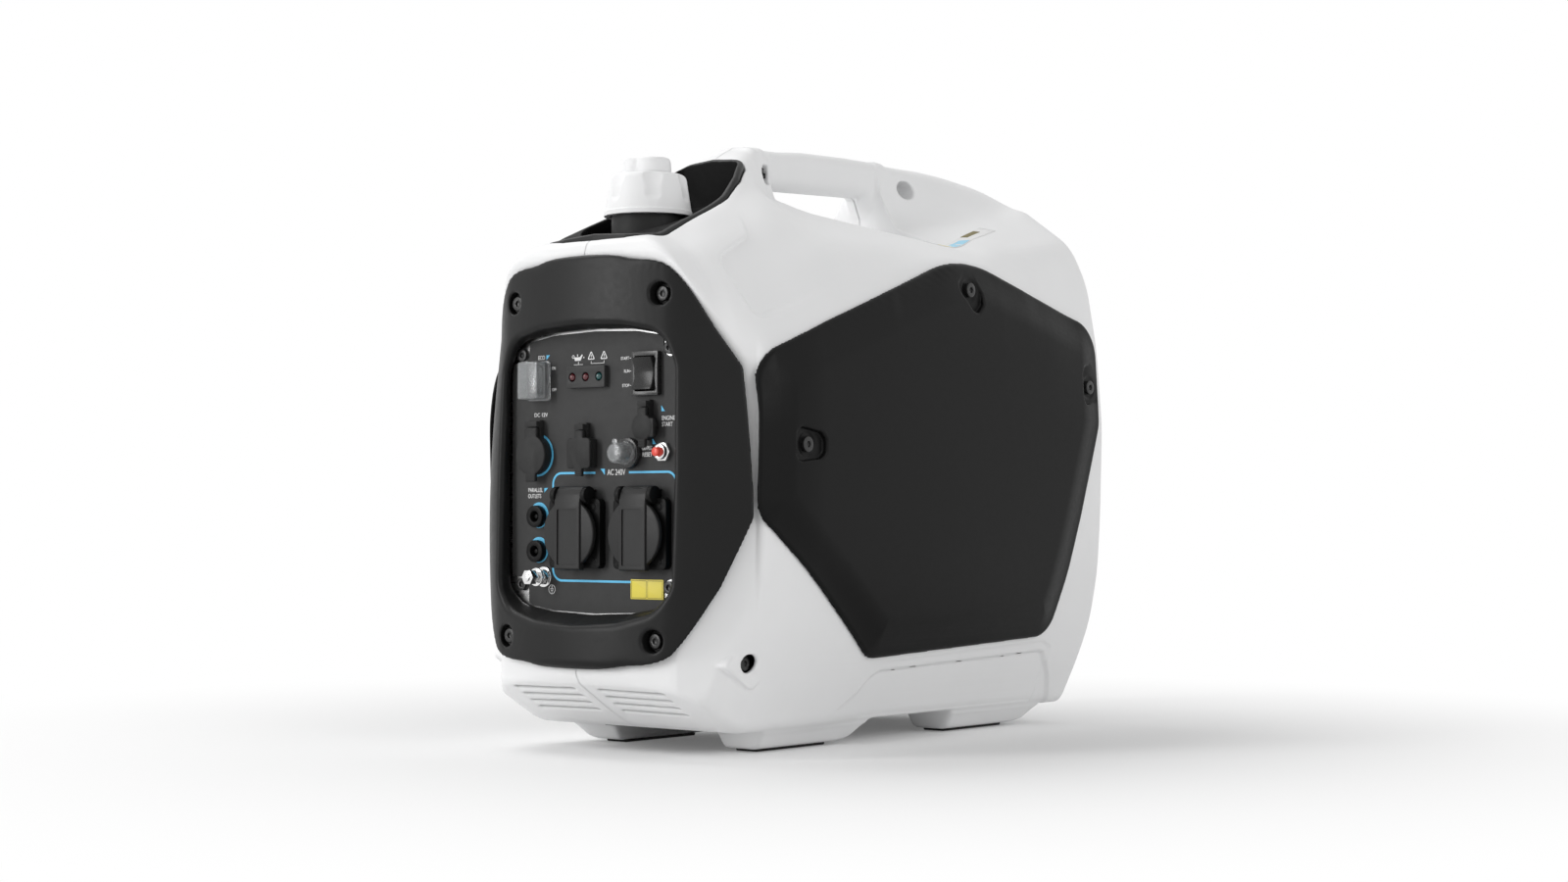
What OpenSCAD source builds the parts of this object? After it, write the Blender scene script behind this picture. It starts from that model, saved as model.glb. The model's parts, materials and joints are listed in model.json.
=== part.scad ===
// Portable inverter generator, 2 kW class, in a moulded case with a carry handle.
// +Z up, origin at the bottom centre, control panel at -Y, service cover at +X.

/* [Body] */
// Overall length, bezel to rear face
body_l = 498; // [490:1:510]
// Overall width over the two side covers
body_w = 290; // [284:1:300]
// Overall height over the carry handle
body_h = 459; // [454:1:466]
// Wall of the moulded halves
wall = 3; // [2.5:0.1:3.5]
// Height of the underside above the floor
under_z = 16; // [14:0.5:18]
// Gap between two fixed covers
gap = 0.4; // [0.2:0.1:0.6]
// Clearance round anything that moves
fit = 0.4; // [0.3:0.05:0.5]

/* [Handle] */
// Width of the carry handle
handle_w = 34; // [30:1:38]
// Height of the grip bar
grip_t = 35; // [32:1:37]
// Bevel along the grip
grip_bevel = 9; // [6:0.5:11]
// Front end of the finger gap, behind the front-most point
gap_front = 209; // [207:1:211]
// Rear end of the finger gap, before the rear face
gap_rear = 173; // [167:1:174]
// Depth of the finger gap under the grip
gap_depth = 38; // [34:1:40]

/* [Front bezel] */
// How far the bezel stands in front of the white mouldings
bezel_proud = 6; // [4:0.5:7]
// Radius of the front face, seen from above
face_r = 307; // [290:1:330]
// Half width of the front face
face_half_w = 84; // [83:0.5:86]
// Backward lean of the front face, degrees
face_lean = 1.75; // [1.5:0.05:2]
// Wall of the bezel
bezel_wall = 3; // [2.5:0.1:3.5]
// Depth of the lip round the bezel
bezel_lip = 9; // [8:0.5:11]
// Lower edge of the bezel
bezel_low = 62; // [60:0.5:64]
// Upper edge of the bezel, below the overall height
bezel_top = 100; // [98:0.5:102]
// Half width of the panel opening
open_half_w = 83; // [82:0.5:83.5]
// Lower edge of the panel opening
open_low = 96; // [94:1:98]
// Drop from the overall height to the panel opening
open_drop = 153; // [151:1:155]
// Corner radius of the panel opening
open_r = 22; // [18:1:24]
// Diameter of the screw pockets in the bezel
pocket_d = 16; // [14:0.5:17]
// Sideways place of the bezel screws
bezel_screw_x = 71; // [70:0.5:72]
// Height of the lower bezel screws
bezel_screw_low = 84; // [83:0.5:84.5]
// Drop from the overall height to the upper bezel screws
bezel_screw_drop = 132.5; // [131:0.5:134]

/* [Control panel] */
// Distance of the panel face behind the front-most point
panel_depth = 27.5; // [26:0.5:29]
// Thickness of the steel plate
plate_t = 2; // [1.5:0.1:2.5]
// Thickness of the printed face plate
overlay_t = 0.8; // [0.5:0.1:1]
// Sideways place of the panel screws
panel_screw_x = 72; // [71:0.5:73]
// Height of the lower panel screws
panel_screw_low = 121; // [120:0.5:122]
// Drop from the overall height to the upper panel screws
panel_screw_drop = 170; // [169:0.5:171]

/* [Switches and lamps] */
// Width of the engine switch frame
engine_sw_w = 25; // [24:0.5:26]
// Height of the engine switch frame
engine_sw_h = 31; // [30:0.5:32]
// Width of the eco switch frame
eco_w = 19; // [18:0.5:20]
// Height of the eco switch frame
eco_h = 27; // [26:0.5:28]
// Width of the lamp block
lamp_block_w = 37; // [36:0.5:38]
// Height of the lamp block
lamp_block_h = 15.5; // [15:0.5:17]
// Diameter of one lamp
lamp_d = 5; // [4:0.5:6]
// Diameter of the breaker ring
breaker_d = 22; // [20:0.5:23]
// Diameter of the reset button
reset_d = 6.6; // [6:0.1:7]
// Travel of both push buttons
button_travel = 2.5; // [2:0.1:3]

/* [Sockets] */
// Side of the square flange of a mains socket
ac_flange = 50; // [48:0.5:51]
// Distance between the two mains sockets
ac_pitch = 63; // [62:0.5:65]
// Diameter of the round mains socket cover
ac_cover_d = 49; // [47:0.5:50]
// Width of the strap over the cover
ac_strap_w = 20; // [18:0.5:21]
// Bore of a mains socket
ac_bore = 38; // [36:0.5:39]
// Diameter of the covers' hinge pins
hinge_pin_d = 2; // [1.8:0.1:2.4]
// Diameter of the 12 V socket cap
dc_cap_d = 29; // [28:0.5:30]
// Bore of the 12 V socket
dc_bore = 21; // [20:0.5:22]
// Width of the USB cap
usb_w = 23; // [22:0.5:24]
// Height of the USB cap
usb_h = 22; // [21:0.5:23]
// Diameter of the start port cap
start_d = 19; // [18:0.5:20]
// Diameter of a parallel outlet jack
jack_d = 16; // [15:0.5:17]
// Distance between the parallel outlet jacks
jack_pitch = 25.3; // [24.5:0.1:26]
// Diameter of the ground terminal stud
stud_d = 6; // [5:0.5:6.5]

/* [Side covers] */
// How far a side cover stands out of the side
cover_proud = 7; // [6:0.5:8]
// Wall of a side cover
cover_wall = 3; // [2.5:0.1:3.5]
// Corner radius of a side cover
cover_r = 24; // [20:1:26]
// Diameter of the screw pockets in the covers
cover_pocket_d = 17; // [16:0.5:18]

/* [Fuel filler] */
// Distance of the filler behind the front-most point
filler_y = 84; // [83:0.5:85]
// Diameter of the cap at its rim
cap_d = 65; // [62:0.5:66]
// Diameter of the cap at its shoulder
cap_top_d = 57; // [55:0.5:58]
// Height of the cap
cap_h = 31; // [29:0.5:33]
// Drop from the overall height to the rim of the cap
cap_drop = 68; // [67:0.5:69]
// Diameter of the tank's neck
neck_d = 54; // [50:0.5:55]
// Diameter of the vent knob
knob_d = 36; // [33:0.5:38]
// Height of the vent knob
knob_h = 12; // [10:0.5:13]

/* [Base] */
// Width of a moulded foot
foot_w = 30; // [28:1:34]
// Length of the front feet
front_foot_l = 112; // [100:1:116]
// Length of the rear feet
rear_foot_l = 112; // [100:1:116]
// Thickness of the rubber pads under the feet
pad_t = 4; // [3:0.5:5]
// Sheet of the base tray
tray_t = 3; // [2:0.5:3.5]

/* [Engine] */
// Height of the crankshaft
crank_z = 115; // [114:0.5:116]
// Diameter of the crankshaft journals
journal_d = 20; // [18:0.5:22]
// Bore of the cylinder
bore_d = 48; // [46:0.5:49]
// Diameter of the flywheel rotor
rotor_d = 150; // [144:1:154]
// Diameter of the stator
stator_d = 120; // [116:1:124]
// Diameter of the cooling fan
fan_d = 164; // [158:1:166]
// Diameter of the recoil pulley
pulley_d = 60; // [56:1:64]

/* [Hidden] */
$fn = 48;

shell_grey = [0.86, 0.87, 0.88];
satin_black = [0.12, 0.12, 0.13];
charcoal = [0.22, 0.23, 0.24];
rubber_grey = [0.17, 0.17, 0.18];
steel = [0.75, 0.76, 0.78];

front_y = -body_l / 2;
rear_y = body_l / 2;
side_x = body_w / 2 - cover_proud;
far = 400;          // longer than any cut
eps = 0.01;

// ---------------------------------------------------------------- body form

// Right half of the body, as cross-sections from front to rear. Each row is
// [y, inset of the lower side, points from the top centre out and down to the widest point].
s = side_x;
h = body_h;
f = front_y;
r = rear_y;
trough = h - grip_t - gap_depth;
gf = f + gap_front;
gr = r - gap_rear;
gap_l = gr - gf;
wide = h - 214;     // top of the widest part
waist = 172;        // bottom of the widest part
open_high = h - open_drop;
bezel_screw_high = h - bezel_screw_drop;
panel_screw_high = h - panel_screw_drop;
sections = [
    [f - 4, 12, [[0, h-88], [53, h-91], [62, h-94], [76, h-103],
        [90, h-121], [99, h-137], [110, h-165], [s-14, wide]]],
    [f+38, 11, [[0, h-85], [53, h-88], [62, h-92], [80, h-103],
        [97, h-128], [107, h-156], [116, h-180], [s-11, wide]]],
    [f+50, 8, [[0, h-81], [53, h-83], [62, h-88], [84, h-99],
        [106, h-130], [118, h-166], [123, h-184], [s-8, wide]]],
    [f+69, 3, [[0, h-74], [53, h-75], [62, h-79], [86, h-94],
        [113, h-131], [126, h-160], [s-6, h-174], [s-3, wide]]],
    [f+113, 0, [[0, h-54], [48, h-55], [57, h-61], [84, h-79],
        [115, h-114], [s-5, h-150], [s-2, h-168], [s, wide]]],
    [f+152, 0, [[0, h-22], [33, h-24], [42, h-41], [62, h-55],
        [112, h-97], [s-4, h-137], [s-2, h-160], [s, wide]]],
    [f+182, 0, [[0, h-7], [19, h-10], [30, h-45], [37, h-48],
        [104, h-88], [s-4, h-125], [s-2, h-152], [s, wide]]],
    [gf-10, 0, [[0, h-5], [19, h-8], [28, h-46], [43, h-52],
        [105, h-86], [s-4, h-120], [s-2, h-150], [s, wide]]],
    [gf+2, 0, [[0, trough], [18, trough], [38, trough], [49, h-55],
        [106, h-85], [s-5, h-114], [s-2, h-149], [s, wide]]],
    [gf + 0.345*gap_l, 0, [[0, trough], [18, trough], [55, trough], [66.5, h-62.5],
        [109, h-85], [s-5, h-104], [s-2, h-148], [s, wide]]],
    [gf + 0.69*gap_l, 0, [[0, trough], [18, trough], [74, trough], [86, h-70.5],
        [114, h-85], [s-6, h-94], [s-2, h-147], [s, wide]]],
    [gr, 0, [[0, trough], [18, trough], [88, trough-2], [103, h-78],
        [119, h-86], [s-7, h-95], [s-2, h-147], [s, wide]]],
    [gr+9, 0, [[0, h], [17, h-3], [21, h-54], [104, h-78],
        [119, h-86], [s-7, h-96], [s-2, h-147], [s, wide]]],
    [r-99, 0, [[0, h-1], [18, h-4], [25, h-47], [86, h-60],
        [116, h-78], [s-8, h-108], [s-2, h-151], [s, wide]]],
    [r-49, 0, [[0, h-3.5], [27, h-11], [40, h-35], [73, h-46],
        [114, h-70], [s-8, h-122], [s-3, h-158], [s, wide]]],
    [r-11, 0, [[0, h-7], [32, h-19], [52, h-29], [63, h-32],
        [108, h-64], [s-14, h-97], [s-5, h-150], [s, wide]]],
    [r, 10, [[0, h-18], [30, h-29], [48, h-38], [58, h-42],
        [100, h-71], [s-25, h-102], [s-14, h-152], [s-9, wide]]]
];
// Lower side, from below the widest point to the underside, before its inset
lower_side = [[s-2, waist], [s-5, 125], [s-12, 85], [s-21, 55], [s-34, under_z+6], [s-40, under_z]];

function lower(inset, rise) =
    [for (p = lower_side) [p.x - inset, max(p.y, under_z + rise)]];
function outline(row, rise = 0) =
    concat(row[2], lower(row[1], rise), [[0, under_z + rise]]);
function unit(v) = v / max(norm(v), eps);
function outward(pts, k) =
    k == 0 ? [0, 1] :
    k == len(pts) - 1 ? [0, -1] :
    let (t = unit(pts[k+1] - pts[k-1])) [-t.y, t.x];
// Outline moved outwards by d; the points on the middle plane stay on it
function grown(pts, d) =
    [for (k = [0:len(pts)-1]) pts[k] + d * outward(pts, k)];

// Closed solid through rings of points, each ring at its own y
module loft(ys, rings) {
    n = len(rings[0]);
    m = len(rings);
    points = [for (i = [0:m-1]) for (p = rings[i]) [p.x, ys[i], p.y]];
    sides = [for (i = [0:m-2]) for (k = [0:n-1])
        let (a = i*n + k, b = i*n + (k+1) % n, c = a + n, e = b + n)
        each [[a, c, b], [b, c, e]]];
    caps = [[for (k = [0:n-1]) k], [for (k = [n-1:-1:0]) (m-1)*n + k]];
    polyhedron(points = points, faces = concat(caps, sides), convexity = 8);
}

// Right half of the whole body
module half_body() {
    loft([for (row = sections) row[0]], [for (row = sections) outline(row)]);
}

// Hollow of the right half: it follows the outside, but runs straight under the handle
module half_hollow() {
    rows = sections;
    function inner(row) =
        let (g = grown(outline(row), -wall), t = [for (k = [2:len(g)-1]) g[k]])
        concat([[-1, t[0].y]], t, [[-1, under_z + wall]]);
    loft([for (i = [0:len(rows)-1]) rows[i][0] - (i == len(rows)-1 ? wall : 0)],
        [for (row = rows) inner(row)]);
}

// Side of the body grown by d, as one slab from the middle of the wall outwards
module side_slab(d) {
    first = 4;
    last = 12;
    root = side_x - 50;
    ys = [for (row = sections) row[0]];
    rings = [for (row = sections)
        let (g = grown(outline(row), d))
        concat([[root, g[first].y]], [for (k = [first:last]) g[k]], [[root, g[last].y]])];
    loft(ys, rings);
}

// Draws a profile of (y, z) points as a solid along x
module along_x(w) { rotate([90, 0, 90]) linear_extrude(w) children(); }
// Draws a profile of (x, z) points as a solid along -y
module along_front(t) { rotate([90, 0, 0]) linear_extrude(t) children(); }
module rounded(rad) { offset(rad) offset(-rad) children(); }
module box2d(w, hgt, rad = 0) {
    if (rad > 0) offset(rad, $fn = 24) square([w - 2*rad, hgt - 2*rad], center = true);
    else square([w, hgt], center = true);
}

// Front end, seen from above: curved face, then a 45 degree flank
module front_plan(inset) {
    rad = face_r - inset;
    centre = front_y + face_r;
    half = face_half_w - inset * 0.5;
    steps = 8;
    a = asin(half / rad);
    arc = [for (i = [-steps:steps]) [rad * sin(a*i/steps), centre - rad * cos(a*i/steps)]];
    corner = face_half_w + 4 - inset * 0.4;
    corner_y = front_y + 13 + inset * 1.02;
    run = 39;
    polygon(concat([[-far/2, far], [-far/2, corner_y + run + 0.3*run],
        [-corner - run, corner_y + run], [-corner, corner_y]], arc,
        [[corner, corner_y], [corner + run, corner_y + run],
        [far/2, corner_y + run + 0.3*run], [far/2, far]]));
}
// The same, leaning back as the face does
module front_form(inset) {
    translate([0, front_y, bezel_low]) rotate([-face_lean, 0, 0]) translate([0, -front_y, -bezel_low])
        linear_extrude(far) front_plan(inset);
}
// Bezel edge, seen from the side
bezel_high = body_h - bezel_top;
module bezel_zone() {
    polygon([[f-60, bezel_low], [f+5, bezel_low], [f+14.5, bezel_low+12], [f+35, bezel_low+59],
        [f+51, bezel_low+108], [f+50, h-184], [f+38, h-156], [f+23, h-121], [f+18, h-109],
        [f+13, bezel_high], [f-60, bezel_high]]);
}
// White front end, seen from the side: chin, front and forehead
chin_z = bezel_low - 1;
module white_side() {
    polygon([[f+72, under_z-1], [f+72, under_z], [f+44, 31.5], [f+12.5, 51.5], [f+6, chin_z],
        [f+16, bezel_high], [f+18, h-94], [f+24, h-87.5], [f+24, h+10], [r+10, h+10], [r+10, waist],
        [r, waist], [r-6, 90], [r-16, under_z], [r-16, under_z-1]]);
}

// ------------------------------------------------------------ housing halves

filler = front_y + filler_y;
trim_floor = h - 93;
trim_wall = 3;
trim_rim = 5;
module trim_plan() {
    polygon([[-53, f+33], [-30, f+26], [0, f+24.2], [30, f+26], [53, f+33], [54, f+44],
        [48, f+116], [42, f+138], [32, f+156], [28, f+159], [-28, f+159], [-32, f+156],
        [-42, f+138], [-48, f+116], [-54, f+44]]);
}
module trim_side() {
    polygon([[f+20, trim_floor - trim_wall], [f+20, h-87.2], [f+33, h-86], [f+69, h-73.5], [f+93, h-62.5],
        [f+116, h-52], [f+136, h-37.5], [f+152, h-21], [f+164, h-15], [f+164, trim_floor - trim_wall]]);
}

tray_x = 42;
tray_front = front_y + 84;
tray_rear = rear_y - 44;
module tray_plan(grow) {
    translate([-tray_x - grow, tray_front - grow])
        square([2 * (tray_x + grow), tray_rear - tray_front + 2 * grow]);
}
rear_open_w = 170;
rear_open_low = waist + 8;
rear_open_high = h - 129;
module rear_plan(grow) {
    translate([0, (rear_open_low + rear_open_high) / 2])
        box2d(rear_open_w + 2*grow, rear_open_high - rear_open_low + 2*grow, 12);
}

// Side cover outline, from its front lower corner round over the top
module cover_plan() {
    rounded(cover_r) polygon([[f+52, waist-1], [f+52, h-176], [f+124, h-148], [r-205, h-88], [r-16, h-134],
        [r-17, wide], [r-74, 74], [f+189, 65]]);
}
// Screws of a side cover: y, z, and x of the side there
cover_screws = [[f+95, wide-23.5, side_x-2], [r-199, h-115, side_x-4.8], [r-34, wide+30.5, side_x-2]];
cover_seat = 2.6;                        // floor of a screw pocket above the side
module service_opening() {
    polygon([[f+83, 158], [f+83, wide-35], [f+128, wide-35], [f+128, wide+43], [r-50, wide+43], [r-50, 200],
        [r-85, 98], [f+183, 98]]);
}

foot_x = 50;
foot_rise = 1.2;
front_foot_y = front_y + 108;
rear_foot_y = rear_y - 157;
module foot(y0, len) {
    intersection() {
        translate([foot_x, 0, 0]) along_x(foot_w + 24)
            polygon([[y0-10, under_z+4], [y0+2, 3], [y0+6, foot_rise], [y0+len-14, foot_rise],
                [y0+len-4, 5], [y0+len+8, under_z+4]]);
        translate([0, y0+len+20, 0]) along_front(len + 60)
            polygon([[foot_x, foot_rise], [foot_x+foot_w-4, foot_rise], [foot_x+foot_w+4, 4],
                [foot_x+foot_w+18, under_z+4], [foot_x, under_z+4]]);
    }
}
pad_w = foot_w - 10;
pad_inset = 12;
module pads(grow) {
    for (m = [0, 1], p = [[front_foot_y, front_foot_l], [rear_foot_y, rear_foot_l]])
        mirror([m, 0, 0]) translate([foot_x + 4 - grow, p.x + pad_inset - grow, -grow])
            cube([pad_w + 2*grow, p.y - 2*pad_inset - 8 + 2*grow, pad_t + grow]);
}

boss_y = front_y + 61;
boss_z = 68;
boss_x = side_x - 23.5;
boss_pocket = 6;
module boss_diamond() {
    translate([boss_x - 14, 0, 0]) along_x(14)
        polygon([[boss_y-24, boss_z-1], [boss_y-20, boss_z+3], [boss_y+8, boss_z+16], [boss_y+13, boss_z+15],
            [boss_y+26, boss_z+4], [boss_y+25, boss_z-1], [boss_y+8, boss_z-18], [boss_y+3, boss_z-18]]);
}
handle_screws = [[gf-8, h-24], [r-112, h-20]];

handle_screw_x = handle_w/2 - 7;

// Slot i under the bezel, right side
module chin_slot(i) {
    translate([11, 0, 0]) rotate([0, 2.5, 0])
        along_x(62) translate([f + 19.5 + i*8.4, 47 - i*5.4]) rotate(-33) square([3.6, 20], center = true);
}

panel_screws_at = [for (x = [-panel_screw_x, panel_screw_x], z = [panel_screw_low, panel_screw_high]) [x, z]];
bezel_screws_at = [for (x = [-bezel_screw_x, bezel_screw_x], z = [bezel_screw_low, bezel_screw_high]) [x, z]];
panel_screw_d = 4.2;
// Floor of a bezel screw pocket at height z
function bezel_seat(z) = front_y + 16.3 + (z - bezel_low) * tan(face_lean);
panel_back = front_y + panel_depth + overlay_t + plate_t;
// Posts for the screws of the bezel and the panel: x, z, front, web
posts = [[bezel_screw_x, bezel_screw_low, bezel_seat(bezel_screw_low) + bezel_wall, f+22],
    [bezel_screw_x, bezel_screw_high, bezel_seat(bezel_screw_high) + bezel_wall, f+34],
    [panel_screw_x, panel_screw_low, panel_back, f+40],
    [panel_screw_x, panel_screw_high, panel_back, f+48]];
module post(p) {
    translate([p[0], p[3] + 6, p[1]]) rotate([90, 0, 0]) cylinder(d = 11, h = p[3] + 6 - p[2]);
    intersection() {
        translate([p[0], p[3], p[1] - 4]) cube([80, 6, 8]);
        half_body();
        linear_extrude(far) front_plan(bezel_proud);
    }
}
// Ledges that carry the fuel tank
tank_low = h - 159;
ledge_low = tank_low - 8;
module tank_ledges() {
    intersection() {
        for (y = [f+109, f+319]) translate([80, y, ledge_low]) cube([80, 14, 8]);
        half_body();
    }
}

module grip_bar() {
    intersection() {
        along_x(handle_w / 2)
            polygon([[gf-29, h-7], [gf+19, h-4.5], [gf+47, h-1.8], [gr-15, h], [gr+20, h],
                [gr+20, h-grip_t-12], [gr+2, h-grip_t-10], [gr-6, h-grip_t], [gf+20, h-grip_t-1],
                [gf, h-grip_t-3],
                [gf-6, h-grip_t-12], [gf-29, h-grip_t-12]]);
        translate([0, gr+30, 0]) along_front(260)
            polygon([[0, h-70], [handle_w/2, h-70], [handle_w/2, h-grip_bevel-1],
                [handle_w/2-grip_bevel+2, h-1.5], [5, h], [0, h]]);
    }
}

module housing_half() {
    difference() {
        union() {
            difference() {
                intersection() {
                    half_body();
                    along_x(far) white_side();
                    linear_extrude(far + 200) front_plan(bezel_proud);
                }
                intersection() {
                    half_hollow();
                    translate([-1, 0, 0]) along_x(far) offset(delta = -wall) white_side();
                    linear_extrude(far + 200) offset(delta = -wall) front_plan(bezel_proud);
                }
                translate([-1, 0, 0]) along_x(far) offset(delta = gap) bezel_zone();
            }
            tank_ledges();
            grip_bar();
            foot(front_foot_y, front_foot_l);
            foot(rear_foot_y, rear_foot_l);
            for (p = posts) post(p);
            intersection() {
                boss_diamond();
                linear_extrude(far) front_plan(0);
            }
        }
        translate([0, 0, trim_floor - trim_wall - gap]) linear_extrude(far) offset(delta = gap) trim_plan();
        translate([0, 0, -1]) linear_extrude(under_z + wall + 1) tray_plan(gap);
        translate([0, rear_y + 1, 0]) along_front(wall + 2) rear_plan(gap);
        pads(gap / 2);
        translate([side_x - 20, 0, 0]) along_x(40) service_opening();
        for (p = cover_screws) translate([p[2] - 20, p[0], p[1]]) rotate([0, 90, 0])
            cylinder(d = 5.4, h = 40);
        for (p = handle_screws) translate([handle_screw_x, p[0], p[1]]) rotate([0, 90, 0])
            cylinder(d = 15, h = 30);
        for (p = handle_screws) translate([-1, p[0], p[1]]) rotate([0, 90, 0]) cylinder(d = 4.2, h = 30);
        translate([boss_x - boss_pocket, boss_y, boss_z]) rotate([0, 90, 0]) cylinder(d = 13, h = 30);
        translate([boss_x - 20, boss_y, boss_z]) rotate([0, 90, 0]) cylinder(d = 5.4, h = 30);
        for (p = posts) translate([p[0], p[3] + 10, p[1]]) rotate([90, 0, 0]) cylinder(d = 4.4, h = 38);
        for (i = [0:3]) chin_slot(i);
    }
}
module housing_right() { color(shell_grey) housing_half(); }
module housing_left() { color(shell_grey) mirror([1, 0, 0]) housing_half(); }

// ------------------------------------------------------------- front bezel

panel_y = front_y + panel_depth;
overlay_y = panel_y + overlay_t;         // back of the printed face, front of the steel
module panel_opening(grow = 0) {
    offset(delta = grow) rounded(open_r)
        polygon([[-open_half_w+10, open_high-7], [-open_half_w, open_high-30], [-open_half_w-1, 200],
            [-open_half_w, open_low+24], [-open_half_w+12, open_low+7], [-40, open_low+1.5], [0, open_low],
            [40, open_low+1.5], [open_half_w-12, open_low+7], [open_half_w, open_low+24],
            [open_half_w+1, 200], [open_half_w, open_high-30], [open_half_w-10, open_high-7],
            [40, open_high-1.5], [0, open_high],
            [-40, open_high-1.5]]);
}
module bezel_body(inset) {
    intersection() {
        front_form(inset);
        translate([-far/2, 0, 0]) along_x(far) offset(delta = -inset) bezel_zone();
    }
}
module front_bezel() {
    color(satin_black) difference() {
        union() {
            difference() {
                bezel_body(0);
                bezel_body(bezel_wall);
                front_form(bezel_lip);
            }
            intersection() {
                bezel_body(0);
                union() {
                    translate([0, overlay_y, 0]) along_front(60) panel_opening(bezel_wall);
                    for (p = bezel_screws_at) translate([p.x, bezel_seat(p.y) + bezel_wall, p.y])
                        rotate([90, 0, 0]) cylinder(d = pocket_d + 2*bezel_wall, h = 40);
                }
            }
        }
        translate([0, overlay_y + 1, 0]) along_front(60) panel_opening();
        for (p = bezel_screws_at) translate([p.x, bezel_seat(p.y), p.y]) rotate([90, 0, 0]) {
            cylinder(d = pocket_d, h = 40);
            translate([0, 0, -10]) cylinder(d = 4.6, h = 12);
        }
    }
}

// ------------------------------------------------------------ control panel

plate_half_w = open_half_w + 4;
module at_panel(p) { translate([p.x, panel_y, p.y]) children(); }
// Holes through the printed face and the steel plate
module panel_hole(p, d) {
    at_panel(p) translate([0, -5, 0]) rotate([-90, 0, 0]) cylinder(d = d + gap, h = 20);
}
module panel_slot(p, w, hgt) {
    at_panel(p) translate([0, 15, 0]) along_front(30) square([w + gap, hgt + gap], center = true);
}

eco = [-55, open_high-36.5];
engine_sw = [51, open_high-34.5];
lamps = [-6, open_high-35];
dc = [-57, 215.5];
usb = [-9, 216];
start = [52, 233.5];
breaker_at = [34, 215.5];
reset_at = [66.4, 216];
jacks = [[-56, 145.4], [-56, 145.4 + jack_pitch]];
stud = [-50, 126.7];
ac_z = 158.4;
ac_mid_x = 16.8;
ac_at = [[ac_mid_x - ac_pitch/2, ac_z], [ac_mid_x + ac_pitch/2, ac_z]];

engine_body = [engine_sw_w - 3, engine_sw_h - 3];
eco_body = [eco_w - 3, eco_h - 3];
lamp_body = [lamp_block_w - 4, lamp_block_h - 4];
usb_body = [usb_w - 5, usb_h - 7];
breaker_body_d = breaker_d - 6;
reset_body_d = reset_d + 4;
jack_body_d = jack_d - 2;
dc_body_d = dc_bore + 4;
start_body_d = start_d - 5;
ac_body_d = ac_bore + 4;
module panel_cuts() {
    panel_slot(eco, eco_body.x, eco_body.y);
    panel_slot(engine_sw, engine_body.x, engine_body.y);
    panel_slot(lamps, lamp_body.x, lamp_body.y);
    panel_slot(usb, usb_body.x, usb_body.y);
    panel_hole(dc, dc_body_d);
    panel_hole(start, start_body_d);
    panel_hole(breaker_at, breaker_body_d);
    panel_hole(reset_at, reset_body_d);
    panel_hole(stud, stud_d);
    for (p = jacks) panel_hole(p, jack_body_d);
    for (p = ac_at) panel_hole(p, ac_body_d);
    for (p = panel_screws_at) panel_hole(p, panel_screw_d);
}
module control_panel() {
    color(steel) difference() {
        translate([0, overlay_y + plate_t, (open_low + open_high) / 2]) along_front(plate_t)
            box2d(2*plate_half_w, open_high - open_low + 8, 12);
        panel_cuts();
    }
}
// The printed face leaves the steel bare round the four screws
module panel_overlay() {
    bare = 9;
    color(charcoal) difference() {
        translate([0, overlay_y, 0]) along_front(overlay_t) difference() {
            panel_opening(-1.2);
            for (m = [0, 1]) mirror([m, 0]) {
                translate([panel_screw_x - bare, panel_screw_high - bare]) square(40);
                translate([panel_screw_x - bare, panel_screw_low + bare - 40]) square(40);
            }
        }
        panel_cuts();
    }
}

// Rocker switch: a frame with a pocket, and its rocker on a pin
sw_proud = 4;
sw_depth = 16;
sw_wall = 1.5;
sw_pin_d = 2;
module switch_frame(w, hgt, body) {
    difference() {
        union() {
            along_front(sw_proud) box2d(w, hgt, 1);
            translate([0, sw_depth, 0]) along_front(sw_depth) square(body, center = true);
        }
        translate([0, 10, 0]) along_front(30) square([body.x - 2*sw_wall, body.y - 2*sw_wall], center = true);
        translate([-body.x/2 - 1, -1, 0]) rotate([0, 90, 0]) cylinder(d = sw_pin_d + 0.1, h = body.x + 2);
    }
}
module switch_rocker(body) {
    w = body.x - 2*sw_wall - 2*fit;
    half = body.y/2 - sw_wall - fit - 0.4;
    translate([-w/2, 0, 0]) along_x(w)
        polygon([[-4.6, half], [-3.4, 0], [-4.6, -half], [-0.6, -half], [2.5, -4], [2.5, 4], [-0.6, half]]);
    translate([-body.x/2 + 0.2, -1, 0]) rotate([0, 90, 0]) cylinder(d = sw_pin_d, h = body.x - 0.4);
}
module eco_switch() { color(charcoal) at_panel(eco) switch_frame(eco_w - 2, eco_h - 2, eco_body); }
module eco_rocker() { color(rubber_grey) at_panel(eco) switch_rocker(eco_body); }
boot_out = 14;
module eco_boot() {
    color([0.85, 0.87, 0.88, 0.5]) at_panel(eco) difference() {
        union() {
            along_front(2) box2d(eco_w + 2, eco_h + 2, 2);
            along_front(boot_out) box2d(eco_w, eco_h, 2);
        }
        translate([0, 1, 0]) along_front(boot_out) square([eco_w - 1.6, eco_h - 1.6], center = true);
    }
}
module engine_switch() {
    color(charcoal) at_panel(engine_sw) switch_frame(engine_sw_w, engine_sw_h, engine_body);
}
module engine_rocker() { color(rubber_grey) at_panel(engine_sw) switch_rocker(engine_body); }

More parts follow.
